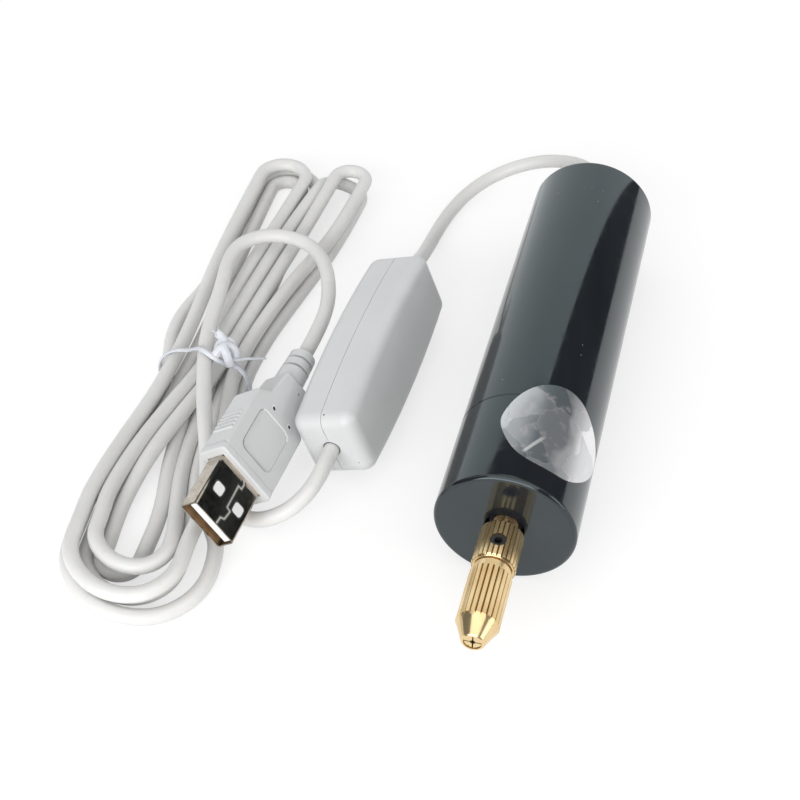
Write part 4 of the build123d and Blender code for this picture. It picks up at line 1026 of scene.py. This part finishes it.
def cord_hole_lips():
    """The moulded lip round each cord hole of the box, and a ring of painted shade in the gap
    inside it.
    """
    lip, gap = bmesh.new(), bmesh.new()
    for hole, way in CORD_HOLES:
        middle = Vector(hole) * MM
        ring_about(lip, middle, BOX_ALONG * way, *LIP_RING)
        ring_about(gap, middle, BOX_ALONG * way, *GAP_RING)
    new_piece("cord_hole_lips", lip, FINISHES["grey_plastic"], True)
    new_piece("cord_hole_gap_shade", gap, FINISHES["seam_dark"], True)


hank_tie()
plug_details()
surface_marks()
cord_hole_lips()
tube_dust()


# Floor, backdrop and light

FLOOR_REACH, FLOOR_GLOW = 6.0, 0.64
FLOOR_WHITE, FLOOR_SHOWN = (0.80, 0.80, 0.80, 1), (0.42, 0.42, 0.42, 1)
WHITE = (1, 1, 1, 1)


def stage_floor():
    """A pale floor that reads white, keeps a soft shadow, and shows white in gloss."""
    mesh = bpy.data.meshes.new("floor")
    corners = ((-1, -1), (1, -1), (1, 1), (-1, 1))
    mesh.from_pydata([(x * FLOOR_REACH, y * FLOOR_REACH, 0) for x, y in corners],
                     [], [(0, 1, 2, 3)])
    floor = bpy.data.objects.new("floor", mesh)
    bpy.context.collection.objects.link(floor)
    material = bpy.data.materials.new("floor_white")
    material.use_nodes = True
    tree = material.node_tree
    tree.nodes.clear()
    diffuse = add_node(tree, "ShaderNodeBsdfDiffuse", {"Color": FLOOR_WHITE})
    shown = add_node(tree, "ShaderNodeBsdfDiffuse", {"Color": FLOOR_SHOWN})
    glow = add_node(tree, "ShaderNodeEmission", {"Color": WHITE, "Strength": FLOOR_GLOW})
    lit = add_node(tree, "ShaderNodeAddShader", {0: shown.outputs[0], 1: glow.outputs[0]})
    path = add_node(tree, "ShaderNodeLightPath")
    seen = math_node(tree, "MAXIMUM", path.outputs["Is Camera Ray"], math_node(
        tree, "MAXIMUM", path.outputs["Is Glossy Ray"], path.outputs["Is Transmission Ray"]))
    pick = add_node(tree, "ShaderNodeMixShader",
                    {0: seen, 1: diffuse.outputs[0], 2: lit.outputs[0]})
    add_node(tree, "ShaderNodeOutputMaterial", {"Surface": pick.outputs[0]})
    mesh.materials.append(material)


FILL_STRENGTH, BACKDROP_STRENGTH, GLOSS_STRENGTH = 0.68, 1.0, 0.062
GLOSS_TINT = (0.70, 0.92, 1, 1)


def studio_world():
    """Even light on the object, white behind it, and a dark studio in its gloss."""
    world = bpy.data.worlds.new("studio")
    bpy.context.scene.world = world
    world.use_nodes = True
    tree = world.node_tree
    tree.nodes.clear()
    path = add_node(tree, "ShaderNodeLightPath")
    fill = add_node(tree, "ShaderNodeBackground", {"Color": WHITE, "Strength": FILL_STRENGTH})
    white = add_node(tree, "ShaderNodeBackground",
                     {"Color": WHITE, "Strength": BACKDROP_STRENGTH})
    dark = add_node(tree, "ShaderNodeBackground",
                    {"Color": GLOSS_TINT, "Strength": GLOSS_STRENGTH})
    mirrored = add_node(tree, "ShaderNodeMixShader", {
        0: path.outputs["Is Glossy Ray"], 1: fill.outputs[0], 2: dark.outputs[0]})
    seen = add_node(tree, "ShaderNodeMixShader", {
        0: path.outputs["Is Camera Ray"], 1: mirrored.outputs[0], 2: white.outputs[0]})
    add_node(tree, "ShaderNodeOutputWorld", {"Surface": seen.outputs[0]})


COOL, WARM = (0.93, 0.985, 1), (1, 0.97, 0.92)


def white_card(name, corners_mm, strength, colour):
    """A white card beside the drill, seen only in its gloss."""
    mesh = bpy.data.meshes.new(name)
    mesh.from_pydata([tuple(value * MM for value in corner) for corner in corners_mm],
                     [], [(0, 1, 2, 3)])
    card = bpy.data.objects.new(name, mesh)
    bpy.context.collection.objects.link(card)
    material = bpy.data.materials.new(name)
    material.use_nodes = True
    tree = material.node_tree
    tree.nodes.clear()
    glow = add_node(tree, "ShaderNodeEmission", {"Color": (*colour, 1), "Strength": strength})
    add_node(tree, "ShaderNodeOutputMaterial", {"Surface": glow.outputs[0]})
    mesh.materials.append(material)
    card.visible_camera = card.visible_diffuse = card.visible_shadow = False


LAMP_TARGET = (-0.03, 0.0, 0.01)


def soft_lamp(name, place, size, power):
    """A wide soft lamp, aimed at the middle of the object."""
    lamp = bpy.data.lights.new(name, "AREA")
    lamp.shape = "RECTANGLE"
    lamp.size, lamp.size_y = size
    lamp.energy = power
    holder = bpy.data.objects.new(name, lamp)
    holder.location = place
    aim = Vector(LAMP_TARGET) - Vector(place)
    holder.rotation_euler = aim.to_track_quat("-Z", "Y").to_euler()
    bpy.context.collection.objects.link(holder)


stage_floor()
studio_world()
white_card("rear_card", [(-260, 92, 0), (27, 92, 0), (27, 92, 132), (-260, 92, 132)],
           1.15, COOL)
white_card("chuck_card_back", [(-60, -36, 29), (60, -36, 29), (60, -36, 90), (-60, -36, 90)],
           0.95, WARM)
white_card("chuck_card_right", [(16, -36, 1), (70, -36, 1), (70, -36, 29), (16, -36, 29)],
           1.0, WARM)
white_card("chuck_card_over", [(-50, -130, 92), (60, -130, 92), (60, -36, 92), (-50, -36, 92)],
           1.7, WARM)
soft_lamp("key", (-0.15, -0.95, 0.42), (1.1, 0.6), 8.0)
soft_lamp("side_fill", (0.95, -0.15, 0.30), (0.8, 0.5), 2.6)
bpy.context.scene.view_settings.view_transform = "Standard"
